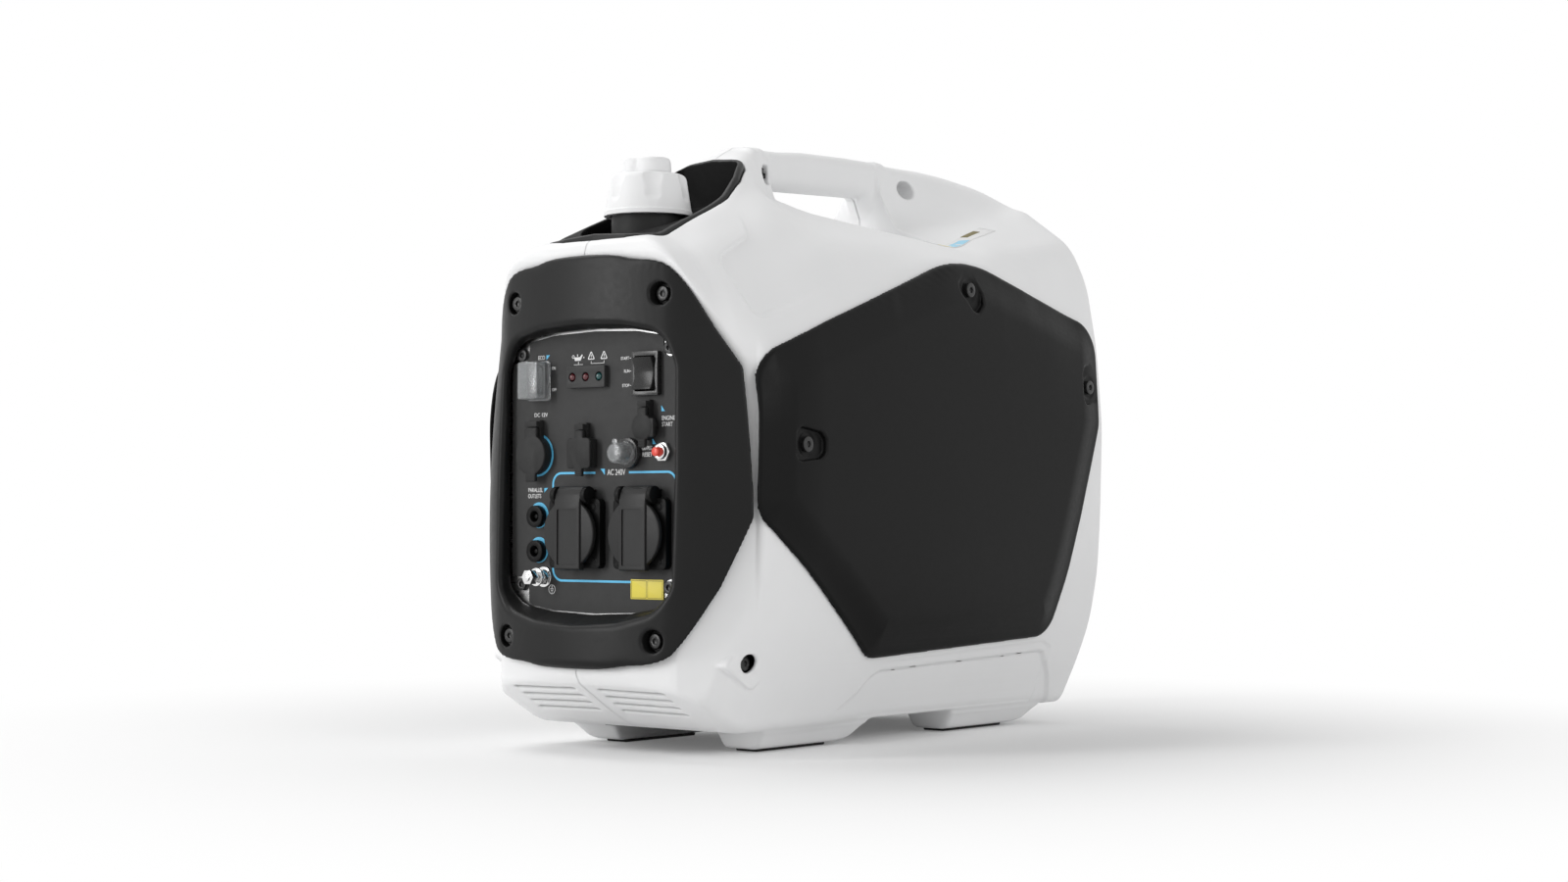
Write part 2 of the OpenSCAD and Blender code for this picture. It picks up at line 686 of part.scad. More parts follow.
lamp_pitch = 13;
module indicator_block() {
    color(charcoal) at_panel(lamps) difference() {
        union() {
            along_front(4) box2d(lamp_block_w, lamp_block_h, 0.8);
            translate([0, 8, 0]) along_front(8) square(lamp_body, center = true);
        }
        for (i = [-1:1]) translate([i*lamp_pitch, 2, 0]) rotate([90, 0, 0])
            cylinder(d = lamp_d + 1.6, h = 20);
    }
}
module indicator_lamps() {
    for (i = [-1:1]) color(i == 1 ? "green" : "red")
        at_panel(lamps) translate([i*lamp_pitch, 2, 0]) rotate([90, 0, 0]) {
            cylinder(d = lamp_d + 1, h = 2);
            cylinder(d = lamp_d, h = 5);
            translate([0, 0, 5]) sphere(d = lamp_d);
        }
}

// Rubber cap on a strap with a barrel at its top; the port carries the foot of the strap
cap_t = 3;
port_out = 5;
module strap_cap(w, hgt, strap_w, reach) {
    along_front(cap_t) {
        if (hgt > 0) box2d(w, hgt, 3);
        else circle(d = w);
        translate([0, reach/2]) square([strap_w, reach], center = true);
        translate([0, -w/2 - 1]) box2d(strap_w * 0.8, 8, 1);
    }
    translate([-strap_w/2, -cap_t/2, reach]) rotate([0, 90, 0]) cylinder(d = cap_t, h = strap_w);
    translate([0, 2, 0]) along_front(3) children();
}
module strap_foot(strap_w, reach) {
    translate([0, 0, reach]) along_front(port_out - 1) box2d(strap_w, 14, 1);
    translate([0, 0, reach + cap_t + 1]) along_front(port_out + cap_t) box2d(strap_w, 4, 0.5);
}
dc_reach = dc_cap_d/2 + 4;
dc_strap_w = 12;
usb_reach = usb_h/2 + 4;
usb_strap_w = 8.5;
start_reach = start_d/2 + 3;
start_strap_w = 8;
module at_cap(p) { at_panel(p) translate([0, -port_out - fit, 0]) children(); }
module dc_socket() {
    color(rubber_grey) at_panel(dc) difference() {
        union() {
            along_front(port_out) circle(d = dc_cap_d - 1);
            translate([0, 18, 0]) along_front(18) circle(d = dc_body_d);
            strap_foot(dc_strap_w, dc_reach);
        }
        translate([0, 15, 0]) along_front(40) circle(d = dc_bore);
    }
}
module dc_cap() {
    color(rubber_grey) at_cap(dc) strap_cap(dc_cap_d, 0, dc_strap_w, dc_reach) circle(d = dc_bore - 3);
}
module usb_port() {
    color(rubber_grey) at_panel(usb) difference() {
        union() {
            along_front(port_out) box2d(usb_w - 1, usb_h - 1, 2);
            translate([0, 14, 0]) along_front(14) square(usb_body, center = true);
            strap_foot(usb_strap_w, usb_reach);
        }
        for (i = [-1, 1]) translate([0, 10, i*3.6]) along_front(30) square([13, 4.8], center = true);
    }
}
module usb_cap() {
    color(rubber_grey) at_cap(usb) strap_cap(usb_w, usb_h, usb_strap_w, usb_reach)
        for (i = [-1, 1]) translate([0, i*3.6]) square([11, 2.6], center = true);
}
module start_port() {
    color(rubber_grey) at_panel(start) difference() {
        union() {
            along_front(port_out) circle(d = start_d - 1);
            translate([0, 14, 0]) along_front(14) circle(d = start_body_d);
            strap_foot(start_strap_w, start_reach);
        }
        translate([0, 8, 0]) along_front(30) circle(d = start_body_d - 4);
    }
}
module start_cap() {
    color(rubber_grey) at_cap(start) strap_cap(start_d, 0, start_strap_w, start_reach)
        circle(d = start_body_d - 7);
}

// Breaker and reset: push buttons in a ring and in a threaded bush
button_d = 8;
button_fit = 0.1;
button_back = 12;
module breaker() {
    color(satin_black) at_panel(breaker_at) rotate([90, 0, 0]) difference() {
        union() {
            cylinder(d = breaker_d, h = 3);
            translate([0, 0, -16]) cylinder(d = breaker_body_d, h = 17);
        }
        translate([0, 0, -button_back]) cylinder(d = button_d + 2*button_fit, h = 20);
    }
}
module breaker_button() {
    color(rubber_grey) at_panel(breaker_at) rotate([90, 0, 0])
        translate([0, 0, button_travel + fit - button_back]) cylinder(d = button_d, h = 18);
}
module breaker_boot() {
    color([0.8, 0.82, 0.84, 0.5]) at_panel(breaker_at) translate([0, -3, 0]) rotate([90, 0, 0])
        difference() {
            union() {
                cylinder(d = breaker_d - 5, h = 2);
                cylinder(d = button_d + 6, h = 13);
            }
            translate([0, 0, -1]) cylinder(d = button_d + 4, h = 12.8);
        }
}
module reset_bush() {
    color(steel) at_panel(reset_at) rotate([90, 0, 0]) difference() {
        union() {
            cylinder(d = reset_d + 8, h = 3, $fn = 6);
            translate([0, 0, -14]) cylinder(d = reset_body_d, h = 20);
        }
        translate([0, 0, -button_back]) cylinder(d = reset_d + 2*button_fit, h = 30);
    }
}
module reset_button() {
    color("red") at_panel(reset_at) rotate([90, 0, 0])
        translate([0, 0, button_travel + fit - button_back]) cylinder(d = reset_d, h = 19.5);
}

// Mains socket: square flange, round rim, two ears for the pin of its sprung cover
ac_base_t = 6;
ac_rim_t = 9;
ac_hinge_z = ac_cover_d/2 + 3;
ac_hinge_y = 8;
ear_w = 3;
ear_r = 2.5;
pin_fit = 0.1;
module ac_pin_hole(d) {
    translate([-ac_flange/2, -ac_hinge_y, ac_hinge_z]) rotate([0, 90, 0]) cylinder(d = d, h = ac_flange);
}
module ac_socket() {
    difference() {
        union() {
            along_front(ac_base_t) box2d(ac_flange, ac_flange, 4);
            along_front(ac_rim_t) circle(d = ac_body_d + 2);
            translate([0, 20, 0]) along_front(20) circle(d = ac_body_d);
            for (m = [0, 1]) mirror([m, 0, 0]) translate([ac_strap_w/2 + fit, 0, ac_hinge_z]) along_x(ear_w)
                polygon([[0, 4], [0, -8], [-ac_base_t, -8], [-ac_hinge_y - ear_r, -1],
                    [-ac_hinge_y - ear_r, ear_r], [-ac_hinge_y + 3, 4]]);
        }
        translate([0, 17, 0]) along_front(60) circle(d = ac_bore);
        ac_pin_hole(hinge_pin_d);
        for (m = [-1, 1]) translate([m * (ac_flange/2 - 5.5), 1, -ac_flange/2 + 5.5]) rotate([90, 0, 0])
            cylinder(d = 4.5, h = 9);
    }
    for (a = [90, 210, 330]) rotate([0, a, 0]) translate([9, 17.5, 0]) rotate([90, 0, 0])
        cylinder(d = 5, h = 8);
}
module ac_sockets() { color(satin_black) for (p = ac_at) at_panel(p) ac_socket(); }
module ac_cover() {
    back = -ac_rim_t - fit;
    strap_low = 26;
    difference() {
        union() {
            translate([0, back, 0]) along_front(3.6) circle(d = ac_cover_d);
            translate([0, back, (ac_hinge_z - strap_low) / 2]) along_front(5)
                box2d(ac_strap_w, ac_hinge_z + strap_low, 1.5);
            translate([-ac_strap_w/2, -ac_hinge_y, ac_hinge_z]) rotate([0, 90, 0])
                cylinder(d = 2*ear_r, h = ac_strap_w);
        }
        ac_pin_hole(hinge_pin_d + pin_fit);
        translate([0, back - 4.2, -3]) along_front(5) box2d(ac_strap_w - 6, 34, 1);
    }
}
module ac_cover_left() { color(rubber_grey) at_panel(ac_at[0]) ac_cover(); }
module ac_cover_right() { color(rubber_grey) at_panel(ac_at[1]) ac_cover(); }
module hinge_pins() {
    half = ac_strap_w/2 + fit + ear_w;
    color(steel) for (p = ac_at) at_panel(p) translate([-half, -ac_hinge_y, ac_hinge_z]) rotate([0, 90, 0])
        cylinder(d = hinge_pin_d, h = 2*half);
}
module parallel_outlets() {
    color(satin_black) for (p = jacks) at_panel(p) rotate([90, 0, 0]) difference() {
        union() {
            cylinder(d = jack_d, h = 5);
            translate([0, 0, -16]) cylinder(d = jack_body_d, h = 17);
        }
        translate([0, 0, -10]) difference() {
            cylinder(d = 8, h = 20);
            cylinder(d = 3.5, h = 13);
        }
    }
}
module ground_terminal() {
    color(steel) at_panel(stud) rotate([90, 0, 0]) {
        translate([0, 0, -10]) cylinder(d = stud_d, h = 29.5);
        cylinder(d = 2.5*stud_d, h = 1.4);
        cylinder(d = 2*stud_d, h = 5.5, $fn = 6);
        translate([0, 0, 8]) cylinder(d = 2.2*stud_d, h = 1.4);
        translate([0, 0, 12]) cylinder(d = 1.9*stud_d, h = 6, $fn = 6);
    }
}

// ------------------------------------------------------------------- screws

// Pan-head screw along -y, the seat of its head at y = 0
module screw_front(head_d, head_h, shank_d, shank_l) {
    rotate([90, 0, 0]) difference() {
        union() {
            cylinder(d = head_d, h = head_h);
            translate([0, 0, -shank_l]) cylinder(d = shank_d, h = shank_l + 1);
        }
        translate([0, 0, head_h - 1.6]) cylinder(d = head_d * 0.45, h = 3, $fn = 6);
    }
}
// The same along +x
module screw_side(head_d, head_h, shank_d, shank_l) {
    rotate([0, 0, 90]) screw_front(head_d, head_h, shank_d, shank_l);
}
module panel_screws() {
    color(rubber_grey) for (p = panel_screws_at)
        translate([p.x, overlay_y, p.y]) screw_front(9, 3, 4.2, 8);
}
module bezel_screws() {
    color(rubber_grey) for (p = bezel_screws_at)
        translate([p.x, bezel_seat(p.y), p.y]) screw_front(10, 4.5, 4.2, 12);
}
module side_cover_screws() {
    color(rubber_grey) for (m = [0, 1], p = cover_screws) mirror([m, 0, 0])
        translate([p[2] + cover_seat, p[0], p[1]]) screw_side(11, 3.5, 5, 14);
}
module housing_screws() {
    color(rubber_grey) for (m = [0, 1]) mirror([m, 0, 0]) {
        for (p = handle_screws) translate([handle_screw_x, p[0], p[1]])
            screw_side(10, 3.5, 4, handle_screw_x - 0.5);
        translate([boss_x - boss_pocket, boss_y, boss_z]) screw_side(10, 4, 5, 8);
    }
}

// -------------------------------------------------------------- side covers

module cover_prism(inset) { along_x(far) offset(delta = -inset) cover_plan(); }
module cover_boss_cyl(p, d, x0) { translate([x0, p[0], p[1]]) rotate([0, 90, 0]) cylinder(d = d, h = 80); }
module side_cover() {
    difference() {
        intersection() {
            side_slab(cover_proud);
            cover_prism(gap);
        }
        side_slab(gap);
        difference() {
            intersection() {
                side_slab(cover_proud - cover_wall);
                cover_prism(gap + cover_wall);
            }
            for (p = cover_screws) cover_boss_cyl(p, cover_pocket_d + 6, side_x - 30);
        }
        for (p = cover_screws) {
            cover_boss_cyl(p, cover_pocket_d, p[2] + cover_seat);
            cover_boss_cyl(p, 5.4, p[2] - 20);
        }
    }
}
module side_cover_right() { color(satin_black) side_cover(); }

// The left cover has a well for the starter grip
pulley_y = front_y + 124;
grip_y = pulley_y;
grip_z = 182;
well_w = 74;
well_h = 40;
well_r = 12;
well_wall = 2.5;
well_x = side_x - 8;                     // floor of the well
module at_well(x) { translate([-x, grip_y, grip_z]) rotate([90, 0, -90]) children(); }
module side_cover_left() {
    color(satin_black) difference() {
        union() {
            mirror([1, 0, 0]) side_cover();
            intersection() {
                at_well(well_x - well_wall) linear_extrude(40)
                    box2d(well_w + 2*well_wall, well_h + 2*well_wall, well_r);
                mirror([1, 0, 0]) side_slab(cover_proud - 0.5);
            }
        }
        at_well(well_x) linear_extrude(40) box2d(well_w, well_h, well_r);
        at_well(well_x - 20) cylinder(d = rope_d + 3, h = 40);
    }
}

// ---------------------------------------------------------------- rear, base

outlet = [48, rear_open_low+25];
outlet_d = 34;
module rear_cover() {
    color(satin_black) difference() {
        union() {
            translate([0, rear_y, 0]) along_front(wall) rear_plan(0);
            translate([0, rear_y - wall, 0]) along_front(2.5) rear_plan(6);
        }
        for (i = [0:5]) translate([0, rear_y + 5, rear_open_high - 18 - i*13]) along_front(20)
            box2d(rear_open_w - 34, 6, 2.5);
        translate([outlet.x, rear_y + 5, outlet.y]) rotate([90, 0, 0]) cylinder(d = outlet_d, h = 30);
    }
}
module base_tray() {
    color(satin_black) difference() {
        union() {
            translate([0, 0, under_z]) linear_extrude(wall) tray_plan(0);
            translate([0, 0, under_z + wall]) linear_extrude(tray_t) tray_plan(7);
        }
        for (i = [0:6]) translate([0, tray_front + 60 + i*30, under_z - 1]) linear_extrude(20)
            box2d(36, 8, 3);
    }
}
module rubber_feet() { color(rubber_grey) pads(0); }

// --------------------------------------------------------------- fuel system

module fuel_trim() {
    color(satin_black) difference() {
        intersection() {
            translate([-far/2, 0, 0]) along_x(far) trim_side();
            linear_extrude(far + 200) trim_plan();
        }
        translate([0, 0, trim_floor]) linear_extrude(far) offset(delta = -trim_rim) trim_plan();
        translate([0, filler, trim_floor - 20]) cylinder(d = neck_d + 4, h = 60);
    }
}
tank_top = trim_floor - trim_wall - 4;
tank_wall = 3;
cap_z = body_h - cap_drop;
cap_roof = 10;
neck_top = cap_z + cap_h - cap_roof;
module tank_plan() {
    polygon([[-66, f+60], [66, f+60], [84, f+100], [89, f+125], [89, f+356], [-89, f+356], [-89, f+125],
        [-84, f+100]]);
}
module fuel_tank() {
    color(rubber_grey) difference() {
        union() {
            translate([0, 0, tank_low]) linear_extrude(tank_top - tank_low) rounded(14) tank_plan();
            translate([0, filler, tank_top - 1]) cylinder(d = neck_d, h = neck_top - tank_top + 1);
        }
        translate([0, 0, tank_low + tank_wall]) linear_extrude(tank_top - tank_low - 2*tank_wall)
            rounded(11) offset(delta = -tank_wall) tank_plan();
        translate([0, filler, tank_top - 10]) cylinder(d = neck_d - 8, h = far);
    }
}
module fuel_cap() {
    rim = 4;
    slope = atan((cap_d - cap_top_d) / 2 / (cap_h - rim - 4));
    color(shell_grey) translate([0, filler, cap_z]) difference() {
        rotate_extrude() polygon([[neck_d/2 + fit, 0], [cap_d/2 - 1, 0], [cap_d/2, 1.5], [cap_d/2, rim],
            [cap_top_d/2 + 0.5, cap_h - 4], [cap_top_d/2 - 1, cap_h - 1.5], [cap_top_d/2 - 4, cap_h],
            [vent_stem_d/2, cap_h], [vent_stem_d/2, cap_h - cap_roof + fit],
            [neck_d/2 + fit, cap_h - cap_roof + fit]]);
        for (i = [0:7]) rotate(i * 45 + 20) translate([cap_d/2 + 7.5, 0, rim]) rotate([0, -slope, 0])
            cylinder(d = 18, h = 40);
    }
}
vent_stem_d = 8;
module vent_knob() {
    lobe_d = 15;
    color(shell_grey) translate([0, filler, cap_z + cap_h]) {
        difference() {
            translate([0, 0, 0.3]) linear_extrude(knob_h - 0.3) rounded(3) {
                circle(d = knob_d - 12);
                for (i = [0:3]) rotate(i * 90 + 45) translate([(knob_d - lobe_d) / 2, 0]) circle(d = lobe_d);
            }
            translate([0, 0, knob_h - 1.5]) cylinder(d = 12, h = 4);
        }
        translate([0, 0, 2*fit - cap_roof]) cylinder(d = vent_stem_d - 0.1, h = cap_roof + 1);
    }
}

// -------------------------------------------------------------------- engine

floor_z = under_z + wall + tray_t;
case_half_x = 58;
case_front = front_y + 209;
case_rear = case_front + 90;
case_low = crank_z - 66;
case_top = crank_z + 52;
case_wall = 5;
cyl_y = case_front + 47;
module at_crank(y) { translate([0, y, crank_z]) rotate([90, 0, 0]) children(); }
module engine_mounts() {
    color(rubber_grey) for (x = [-34, 34], y = [case_front + 14, case_rear - 14])
        translate([x, y, floor_z]) cylinder(d = 24, h = case_low - floor_z);
}
bearing_boss_d = 44;
dipstick_d = 16;
module at_dipstick() { translate([case_half_x - 6, cyl_y, case_low + 38]) rotate([0, 55, 0]) children(); }
module case_block(inset) {
    translate([0, (case_front + case_rear) / 2, case_low + inset])
        linear_extrude(case_top - case_low - 2*inset)
            box2d(2*(case_half_x - inset), case_rear - case_front - 2*inset, 10 - inset);
}
module crankcase() {
    color(steel) difference() {
        union() {
            case_block(0);
            at_crank(case_front + 1) cylinder(d = bearing_boss_d, h = 9);
            at_dipstick() cylinder(d = dipstick_d + 10, h = 22);
        }
        case_block(case_wall);
        at_crank(case_rear + 5) cylinder(d = journal_d + 0.1, h = 120);
        translate([0, cyl_y, case_top - 20]) cylinder(d = bore_d + 8, h = 40);
        at_dipstick() translate([0, 0, -14]) cylinder(d = dipstick_d, h = 50);
    }
}
head_h = 30;
rocker_h = 22;
fins_h = tank_low - 19 - rocker_h - head_h - case_top;
fins = 7;
fin_pitch = (fins_h - 3.2) / fins;
head_z = case_top + fins_h;
head_x = 48;
head_y = 40;
port_z = head_z + 12;
plug_z = head_z + 15;
spigot = 8;
module cylinder_block() {
    color(steel) difference() {
        union() {
            translate([0, cyl_y, case_top - spigot]) cylinder(d = bore_d + 8 - 0.1, h = spigot + 2);
            translate([0, cyl_y, case_top]) cylinder(d = bore_d + 16, h = fins_h);
            for (i = [0:fins-1]) translate([0, cyl_y, case_top + 4 + i*fin_pitch]) linear_extrude(2.6)
                box2d(104, 84, 12);
            translate([0, cyl_y, head_z]) linear_extrude(head_h) box2d(2*head_x, 2*head_y, 8);
        }
        translate([0, cyl_y, case_top - spigot - 1]) cylinder(d = bore_d, h = fins_h + spigot + 7);
        translate([-30, cyl_y, plug_z]) rotate([0, -90, 0]) cylinder(d = 10, h = 60);
    }
}
module rocker_cover() {
    color(rubber_grey) translate([0, cyl_y, head_z + head_h]) difference() {
        linear_extrude(rocker_h) box2d(90, 72, 10);
        translate([0, 0, -1]) linear_extrude(rocker_h - 2) box2d(82, 64, 8);
    }
}
module piston() {
    color(steel) translate([0, cyl_y, head_z - 34]) difference() {
        cylinder(d = bore_d - 0.2, h = 36);
        translate([0, 0, -1]) cylinder(d = bore_d - 8, h = 28);
    }
}
module spark_plug() {
    color([0.9, 0.9, 0.88]) translate([-30, cyl_y, plug_z]) rotate([0, -90, 0]) {
        cylinder(d = 9.8, h = 20);
        translate([0, 0, head_x - 30]) cylinder(d = 18, h = 8, $fn = 6);
        translate([0, 0, head_x - 23]) cylinder(d = 10, h = 22);
    }
}
rotor_rear = case_front - 5;
rotor_l = 40;
rotor_front = rotor_rear - rotor_l;
rotor_web = 6;
web_d = 80;
module crankshaft() {
    color(steel) {
        at_crank(case_rear + 2) cylinder(d = journal_d, h = case_rear + 2 - cyl_y - 12);
        at_crank(cyl_y - 12) cylinder(d = journal_d, h = cyl_y - 12 - rotor_front + 3);
        for (y = [cyl_y - 7, cyl_y + 13]) at_crank(y) difference() {
            cylinder(d = web_d, h = 6.5);
            for (m = [-1, 1]) translate([m * 34, 24, -1]) cylinder(d = 46, h = 12);
        }
        at_crank(cyl_y + 10) translate([0, 20, 0]) cylinder(d = 18, h = 20);
    }
}
module rotor() {
    color(steel) at_crank(rotor_rear) difference() {
        cylinder(d = rotor_d, h = rotor_l);
        translate([0, 0, -1]) cylinder(d = rotor_d - 16, h = rotor_l - rotor_web + 1);
        cylinder(d = journal_d + 0.04, h = rotor_l + 5);
        for (a = [0:60:300]) rotate(a) translate([0, 40, 0]) cylinder(d = 12, h = rotor_l + 5);
    }
}
module stator() {
    hub_d = 72;
    core_l = 25;
    color("peru") at_crank(case_front) difference() {
        union() {
            cylinder(d = hub_d, h = rotor_l - 3);
            translate([0, 0, rotor_l - 3 - core_l]) for (a = [0:30:330]) rotate(a)
                translate([-6, hub_d/2 - 4, 0]) cube([12, (stator_d - hub_d) / 2 + 4, core_l]);
        }
        translate([0, 0, -1]) cylinder(d = bearing_boss_d + 0.1, h = 10);
        translate([0, 0, -2]) cylinder(d = journal_d + 10, h = 60);
    }
}
module cooling_fan() {
    blade_l = 44;
    color(satin_black) at_crank(rotor_front) {
        difference() {
            cylinder(d = fan_d - blade_l, h = 3);
            translate([0, 0, -1]) cylinder(d = journal_d + 10, h = 10);
        }
        for (i = [0:15]) rotate(i * 22.5) translate([0, fan_d/2 - 26, 0]) rotate(25)
            translate([-1.5, -blade_l/2, 0]) cube([3, blade_l, 22]);
    }
}
shroud_d = fan_d + 32;
shroud_l = 100;
shroud_front = case_front - shroud_l;
axle_d = 12;
module fan_shroud() {
    color(satin_black) difference() {
        union() {
            difference() {
                at_crank(case_front) cylinder(d = shroud_d, h = shroud_l);
                at_crank(case_front - wall) cylinder(d = shroud_d - 2*wall, h = shroud_l - 2*wall);
                at_crank(case_front + 5) cylinder(d = rotor_d - 6, h = 12);
                for (a = [0:30:330]) at_crank(shroud_front + 10) rotate(a) translate([0, 66, 0])
                    cylinder(d = 20, h = 30);
                translate([-36, case_front - 10, case_top + 8]) cube([72, 20, 40]);
                translate([0, pulley_y, crank_z + pulley_d/2]) rotate([0, -rope_rise, 0])
                    translate([-shroud_d, 0, 0]) rotate([0, 90, 0]) cylinder(d = 12, h = shroud_d);
            }
            at_crank(shroud_front + 27) cylinder(d = axle_d, h = 25);
        }
        translate([-far/2, -far, floor_z - far]) cube(far);
    }
}
rope_rise = -atan((grip_z - crank_z - pulley_d/2) / well_x);
pulley_l = 20;
rope_d = 4;
pulley_rim = 7;
module recoil_pulley() {
    color(rubber_grey) at_crank(pulley_y + pulley_l/2) difference() {
        union() {
            cylinder(d = pulley_d + 2*pulley_rim, h = 3);
            cylinder(d = pulley_d, h = pulley_l);
            translate([0, 0, pulley_l - 3]) cylinder(d = pulley_d + 2*pulley_rim, h = 3);
        }
        translate([0, 0, -1]) cylinder(d = axle_d + 0.1, h = pulley_l + 2);
    }
}
module recoil_grip() {
    grip_l = 54;
    grip_h = 18;
    color(satin_black) {
        at_well(well_x + fit) cylinder(d = 12, h = 4);
        at_well(well_x + 2 + fit) linear_extrude(11) box2d(grip_l, grip_h, 8);
    }
}
carb_l = 32;
module carburettor() {
    color(steel) translate([head_x, cyl_y, port_z]) {
        rotate([0, 90, 0]) cylinder(d = 22, h = carb_l);
        translate([20, 0, -26]) cylinder(d = 22, h = 28);
    }
}
module air_filter() {
    color(satin_black) translate([head_x + carb_l, cyl_y - 40, port_z - 46]) difference() {
        cube([34, 90, 72]);
        for (i = [0:5]) translate([30, 12 + i*12, 8]) cube([10, 6, 56]);
    }
}
muffler_front = case_rear + 60;
muffler_back = rear_y - 39;
muffler_low = 100;
muffler_h = tank_low - 50 - muffler_low;
module muffler_block(inset) {
    translate([0, (muffler_front + muffler_back) / 2, muffler_low + inset])
        linear_extrude(muffler_h - 2*inset)
            box2d(150 - 2*inset, muffler_back - muffler_front - 2*inset, 24 - inset);
}
module muffler() {
    pipe_l = rear_y - 2 - muffler_back;
    color([0.5, 0.5, 0.52]) difference() {
        union() {
            muffler_block(0);
            translate([outlet.x, muffler_back + pipe_l, outlet.y]) rotate([90, 0, 0])
                cylinder(d = 30, h = pipe_l + 1);
            translate([0, muffler_front + 1, port_z]) rotate([90, 0, 0])
                cylinder(d = 24, h = muffler_front + 1 - cyl_y - head_y);
        }
        muffler_block(2);
        translate([outlet.x, muffler_back + far, outlet.y]) rotate([90, 0, 0]) cylinder(d = 26, h = far + 20);
    }
}
module oil_dipstick() {
    color("gold") at_dipstick() {
        translate([0, 0, 22 + fit]) cylinder(d = dipstick_d + 12, h = 9, $fn = 10);
        translate([0, 0, -8]) cylinder(d = dipstick_d - 0.2, h = 32);
    }
}
inverter_rear = shroud_front - 4;
module inverter() {
    depth = 40;
    foot_h = 18;
    color([0.3, 0.32, 0.34]) translate([0, inverter_rear, floor_z]) {
        difference() {
            translate([-90, -depth, foot_h]) cube([180, depth, 190]);
            for (i = [0:13]) translate([-85 + i*12.6, -depth - 1, foot_h + 6]) cube([6, 13, 200]);
        }
        for (m = [-1, 1]) translate([m * 34 - 10, -16, 0]) cube([20, 16, foot_h + 1]);
    }
}

housing_right();
housing_left();
front_bezel();
control_panel();
panel_overlay();
side_cover_right();
side_cover_left();
rear_cover();
base_tray();
rubber_feet();
fuel_trim();
fuel_tank();
fuel_cap();
vent_knob();
eco_switch();
eco_rocker();
eco_boot();
indicator_block();
indicator_lamps();
engine_switch();
engine_rocker();
dc_socket();
dc_cap();
usb_port();
usb_cap();
start_port();
start_cap();
breaker();
breaker_button();
breaker_boot();
reset_bush();
reset_button();
ac_sockets();
ac_cover_left();
ac_cover_right();
hinge_pins();
parallel_outlets();
ground_terminal();
panel_screws();
bezel_screws();
side_cover_screws();
housing_screws();
engine_mounts();
crankcase();
cylinder_block();  // cylinder
rocker_cover();
piston();
crankshaft();
rotor();
stator();
cooling_fan();
fan_shroud();
recoil_pulley();
recoil_grip();
carburettor();
air_filter();
muffler();
spark_plug();
oil_dipstick();
inverter();
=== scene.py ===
import bpy
import json
import math
import numpy as np
from mathutils import Matrix, Vector


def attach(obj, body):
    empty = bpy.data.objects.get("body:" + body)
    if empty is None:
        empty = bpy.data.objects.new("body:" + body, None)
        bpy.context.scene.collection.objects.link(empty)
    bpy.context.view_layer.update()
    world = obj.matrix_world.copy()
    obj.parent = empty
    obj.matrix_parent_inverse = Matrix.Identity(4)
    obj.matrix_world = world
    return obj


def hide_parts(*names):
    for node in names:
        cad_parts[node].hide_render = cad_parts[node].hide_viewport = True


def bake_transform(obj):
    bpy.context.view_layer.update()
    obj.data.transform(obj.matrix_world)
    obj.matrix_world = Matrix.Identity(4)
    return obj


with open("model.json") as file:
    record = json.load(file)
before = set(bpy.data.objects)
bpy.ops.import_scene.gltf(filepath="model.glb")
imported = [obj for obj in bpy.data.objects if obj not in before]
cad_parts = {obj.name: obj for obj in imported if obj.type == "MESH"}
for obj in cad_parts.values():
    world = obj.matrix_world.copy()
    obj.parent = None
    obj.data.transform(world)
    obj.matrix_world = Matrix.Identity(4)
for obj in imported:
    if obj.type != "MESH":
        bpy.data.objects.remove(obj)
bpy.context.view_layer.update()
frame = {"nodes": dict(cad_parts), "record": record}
scene = bpy.context.scene
MM = 0.001
TAU = 2 * math.pi


def placed(name, data):
    """A new object in the scene."""
    obj = bpy.data.objects.new(name, data)
    scene.collection.objects.link(obj)
    return obj


def settle(thing, **settings):
    """Sets several properties of a thing."""
    for key, value in settings.items():
        setattr(thing, key, value)
    return thing


def look_along(way):
    return Vector(way).to_track_quat("-Z", "Y").to_euler()


# ------------------------------------------------------------------ camera

eye = placed("eye", bpy.data.cameras.new("eye"))
settle(eye, location=(1.26970, -1.57462, 0.17175), rotation_euler=look_along((-0.628928, 0.776936, 0.028652)))
settle(eye.data, lens=59.255, sensor_width=36.0)
scene.camera = eye

# ------------------------------------------------- sizes, in millimetres

FRONT, REAR, SIDE, HIGH = -249.0, 249.0, 138.0, 459.0
UNDER = 16.0                    # height of the underside
WALL = 3.0                      # thickness of the mouldings
WIDE, WAIST = 245.0, 172.0      # heights between which the sides stand upright
GAP = 73                        # depth of the gap under the handle
BEZEL_LOW, BEZEL_HIGH = 62.0, 359.0
FACE_RADIUS = 307               # the front's curve, seen from above
LEAN = math.tan(math.radians(1.75))     # the front leans back
PANEL_Y = -221.5                # printed face of the control panel

f, r, s, h = FRONT, REAR, SIDE, HIGH
